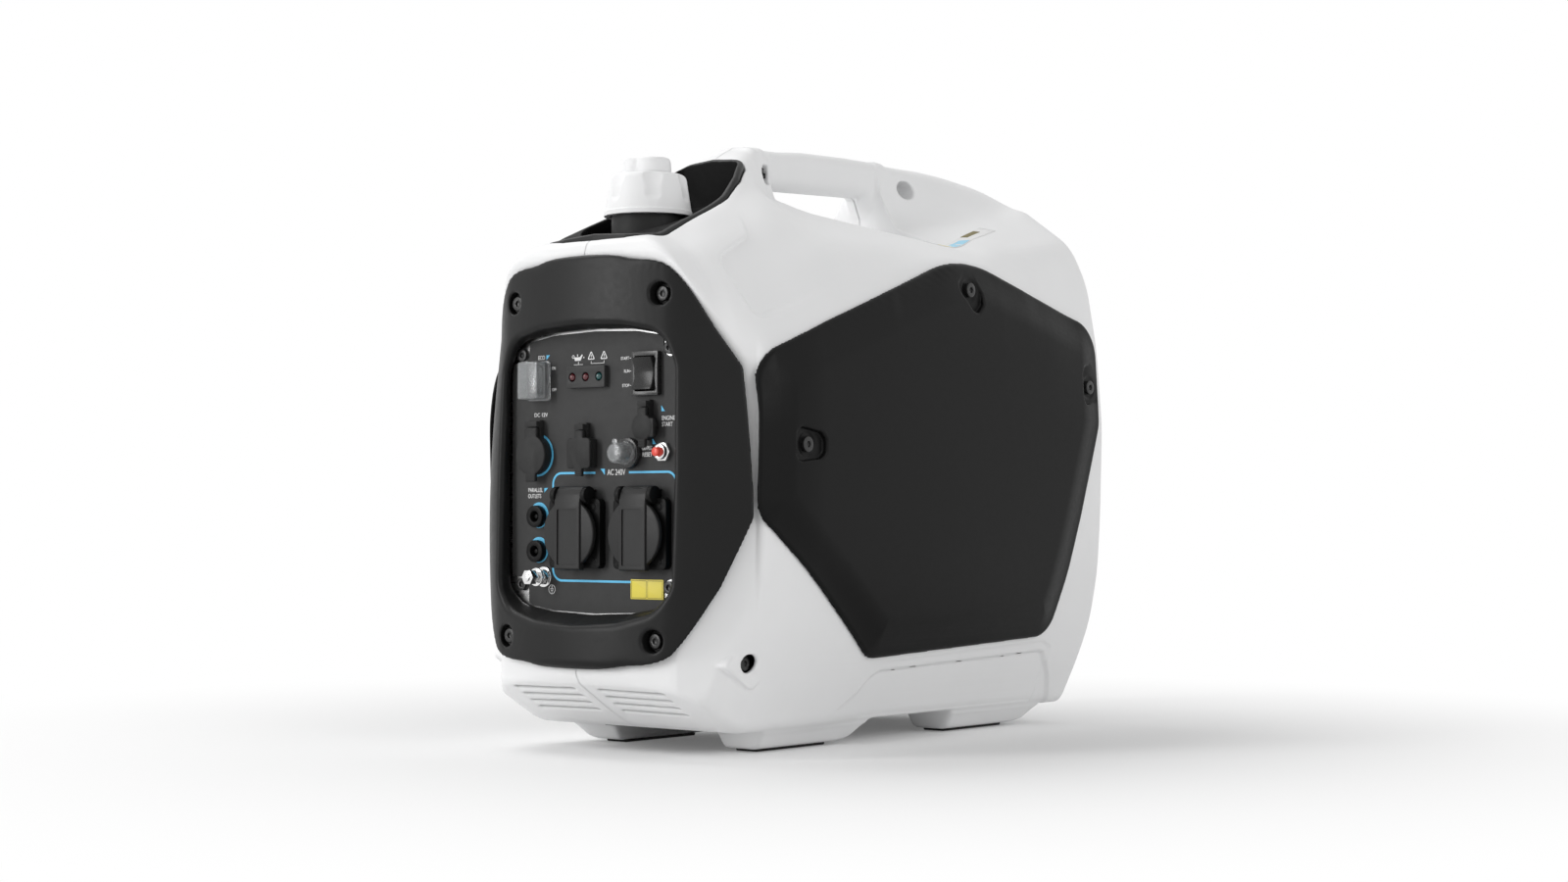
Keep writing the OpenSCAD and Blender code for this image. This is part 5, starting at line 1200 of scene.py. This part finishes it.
for x in (-3.9, 8.6):       # warning triangles
    white += [[arc_corners([(x - 3.7, 283.4), (x + 3.7, 283.4), (x, 290.0)], 0.8),
               arc_corners([(x - 2.5, 284.1), (x + 2.5, 284.1), (x, 288.5)], 0.4)],
              [block((x, 286.2), 0.6, 2.0, 0.2)], [block((x, 284.7), 0.6, 0.5, 0.2)]]
white += [  # oil can
    [arc_corners([(-20.0, 283.0), (-14.4, 283.0), (-12.2, 287.2), (-13.2, 287.5), (-15.0, 285.6),
                  (-20.6, 285.6)], 0.4)],
    [block((-17.4, 286.9), 0.8, 1.6, 0.2)],
    [ring_outline((-21.6, 286.0), 1.3, 16), ring_outline((-21.6, 286.0), 0.8, 16)],
    [ring_outline((-11.2, 285.2), 0.55, 12)]]
# ticks and bars: middle, width and height
white += [[block((x, z), a, b, 0.15)] for x, z, a, b in (
    (-16.5, 281.4, 0.5, 2.0), (-16.5, 280.2, 9.0, 0.4), (-3.9, 281.4, 0.5, 2.0), (2.4, 280.6, 12.0, 0.4),
    (8.6, 281.4, 0.5, 2.0), (34.4, 283.0, 1.6, 0.4), (34.4, 273.8, 1.6, 0.4), (34.4, 263.6, 1.6, 0.4),
    (-42.5, 119.3, 0.6, 2.4), (-42.5, 118.1, 3.4, 0.5), (-42.5, 117.0, 2.2, 0.5), (-42.5, 115.9, 1.1, 0.5))]
white.append([ring_outline((-42.5, 117.8), 3.4), ring_outline((-42.5, 117.8), 3.0)])
printed("panel_marks", white, "print_white", letters)

NOTICE = (50.5, 119.3)
stand(tile("notice_plate", block(NOTICE, 31, 14, 0.8), PANEL_Y + 0.2, 0.6, 0.15), "plate_yellow", "case")
cells = [[block((NOTICE[0] + x, NOTICE[1]), width, width - 1.8, radius)
          for width, radius in ((14.2, 0.5), (13.6, 0.4))] for x in (-7.6, 7.6)]
lines = joined(*[flat_piece("cell", c, PANEL_Y - 0.46, 0.2) for c in cells])
lines.name = "notice_plate_lines"
stand(lines, "plate_line", "case")

# starter rope, from the fan housing to the grip
ROPE_START = (-0.112, -0.125, 0.182)
rope = turned("starter_rope", (0, 0), 0, [(0.01, -1), (1.7, -1), (1.8, 0), (1.8, 20.0), (1.7, 21),
                                          (0.01, 21)], 16)
rope.data.transform(Matrix.Translation(ROPE_START) @ Matrix.Rotation(math.radians(-90), 4, "Z"))
paint(rope, "rope_black")
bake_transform(rope)

# ------------------------------------------------- label on the rear shoulder


def within(corners, u, v):
    """Place at shares u and v of the way across four corners."""
    a, b, c, d = np.array(corners, float)
    return a * (1 - u) * (1 - v) + b * u * (1 - v) + c * u * v + d * (1 - u) * v


def draped(name, corners, look, lift, n=12):
    """Thin patch of n by n cells between four (x, y) corners, laid on the housing."""
    shares = np.linspace(0, 1, n + 1)
    grid = [(*within(corners, u, v), HIGH + 5) for v in shares for u in shares]
    faces = [(k, k + 1, k + n + 2, k + n + 1) for j in range(n) for k in range(j * (n + 1), j * (n + 1) + n)]
    obj = mesh_object(name, grid, faces)
    modified(obj, "SHRINKWRAP", target=housing_right, wrap_method="PROJECT", use_project_z=True,
             use_negative_direction=True, use_positive_direction=False, wrap_mode="ABOVE_SURFACE",
             offset=lift * MM)
    return stand(modified(obj, "SOLIDIFY", thickness=0.3 * MM), look)


SHOULDER = [(94, 50), (101, 69), (80.5, 169), (70.5, 160)]
draped("shoulder_label", SHOULDER, "print_white", 0.3)
for name, look, u0, v0, u1, v1 in (("shoulder_label_blue", "label_blue", 0.3, 0.2, 0.9, 0.52),
                                   ("shoulder_label_yellow", "plate_yellow", 0.55, 0.05, 0.95, 0.17),
                                   ("shoulder_label_dark", "plate_line", 0.1, 0.62, 0.5, 0.86)):
    field = [within(SHOULDER, u, v) for u, v in ((u0, v0), (u1, v0), (u1, v1), (u0, v1))]
    draped(name, field, look, 0.42)

# ------------------------------------------------------------ floor and light


def seen_by(tree, *rays):
    """1 for rays of these kinds and 0 for the others."""
    path = add_node(tree, "LightPath").outputs
    amount = path["Is %s Ray" % rays[0]]
    for ray in rays[1:]:
        either = add_node(tree, "Math", {0: amount, 1: path["Is %s Ray" % ray]}, operation="MAXIMUM")
        amount = either.outputs[0]
    return amount


bpy.ops.object.select_all(action="DESELECT")
bpy.ops.mesh.primitive_plane_add(size=14.0, location=(0, 0, 0))
floor = bpy.context.object
floor.name = "floor"
ground = bpy.data.materials.new("floor_white")
ground.use_nodes = True
tree = ground.node_tree
plain = tree.nodes["Principled BSDF"]
plug(tree, plain.inputs, {"Base Color": (0.9, 0.9, 0.9, 1), "Roughness": 0.7, SPEC: 0.2})
place = add_node(tree, "TexCoord").outputs["Object"]
away = add_node(tree, "VectorMath", {0: place}, operation="LENGTH").outputs["Value"]
fade = add_node(tree, "MapRange", {"Value": away, "From Min": 0.25, "From Max": 0.85, "To Min": 0.12,
                                   "To Max": 1.0}, interpolation_type="SMOOTHSTEP").outputs["Result"]
amount = add_node(tree, "Math", {0: seen_by(tree, "Camera", "Glossy"), 1: fade}, operation="MULTIPLY")
glow = add_node(tree, "Emission", {"Strength": 1.0})
mix = add_node(tree, "MixShader", {0: amount.outputs[0], 1: plain.outputs[0], 2: glow.outputs[0]})
plug(tree, tree.nodes["Material Output"].inputs, {"Surface": mix.outputs[0]})
floor.data.materials.append(ground)

# name, place, aim, width, height and power
for name, at, aim, width, height, power in (
        ("front_window", (-1.25, -2.35, 1.05), (0, -0.1, 0.35), 0.6, 2.0, 33),
        ("overhead", (-1.1, -0.2, 2.1), (0, 0, 0.25), 1.3, 1.3, 16),
        ("right_fill", (2.3, -0.2, 1.1), (0, 0, 0.2), 1.4, 1.2, 13.5)):
    lamp = settle(bpy.data.lights.new(name, "AREA"), shape="RECTANGLE", size=width, size_y=height,
                  energy=power)
    settle(placed(name, lamp), location=at, rotation_euler=look_along(Vector(aim) - Vector(at)))

world = bpy.data.worlds.new("studio")
scene.world = world
world.use_nodes = True
tree = world.node_tree
tree.nodes.clear()
fill, seen = [add_node(tree, "Background", {"Color": (1, 1, 1, 1), "Strength": power}).outputs[0]
              for power in (0.5, 1.0)]
mix = add_node(tree, "MixShader", {0: seen_by(tree, "Camera", "Transmission", "Glossy"), 1: fill, 2: seen})
add_node(tree, "OutputWorld", {0: mix.outputs[0]})
scene.view_settings.view_transform = "Standard"
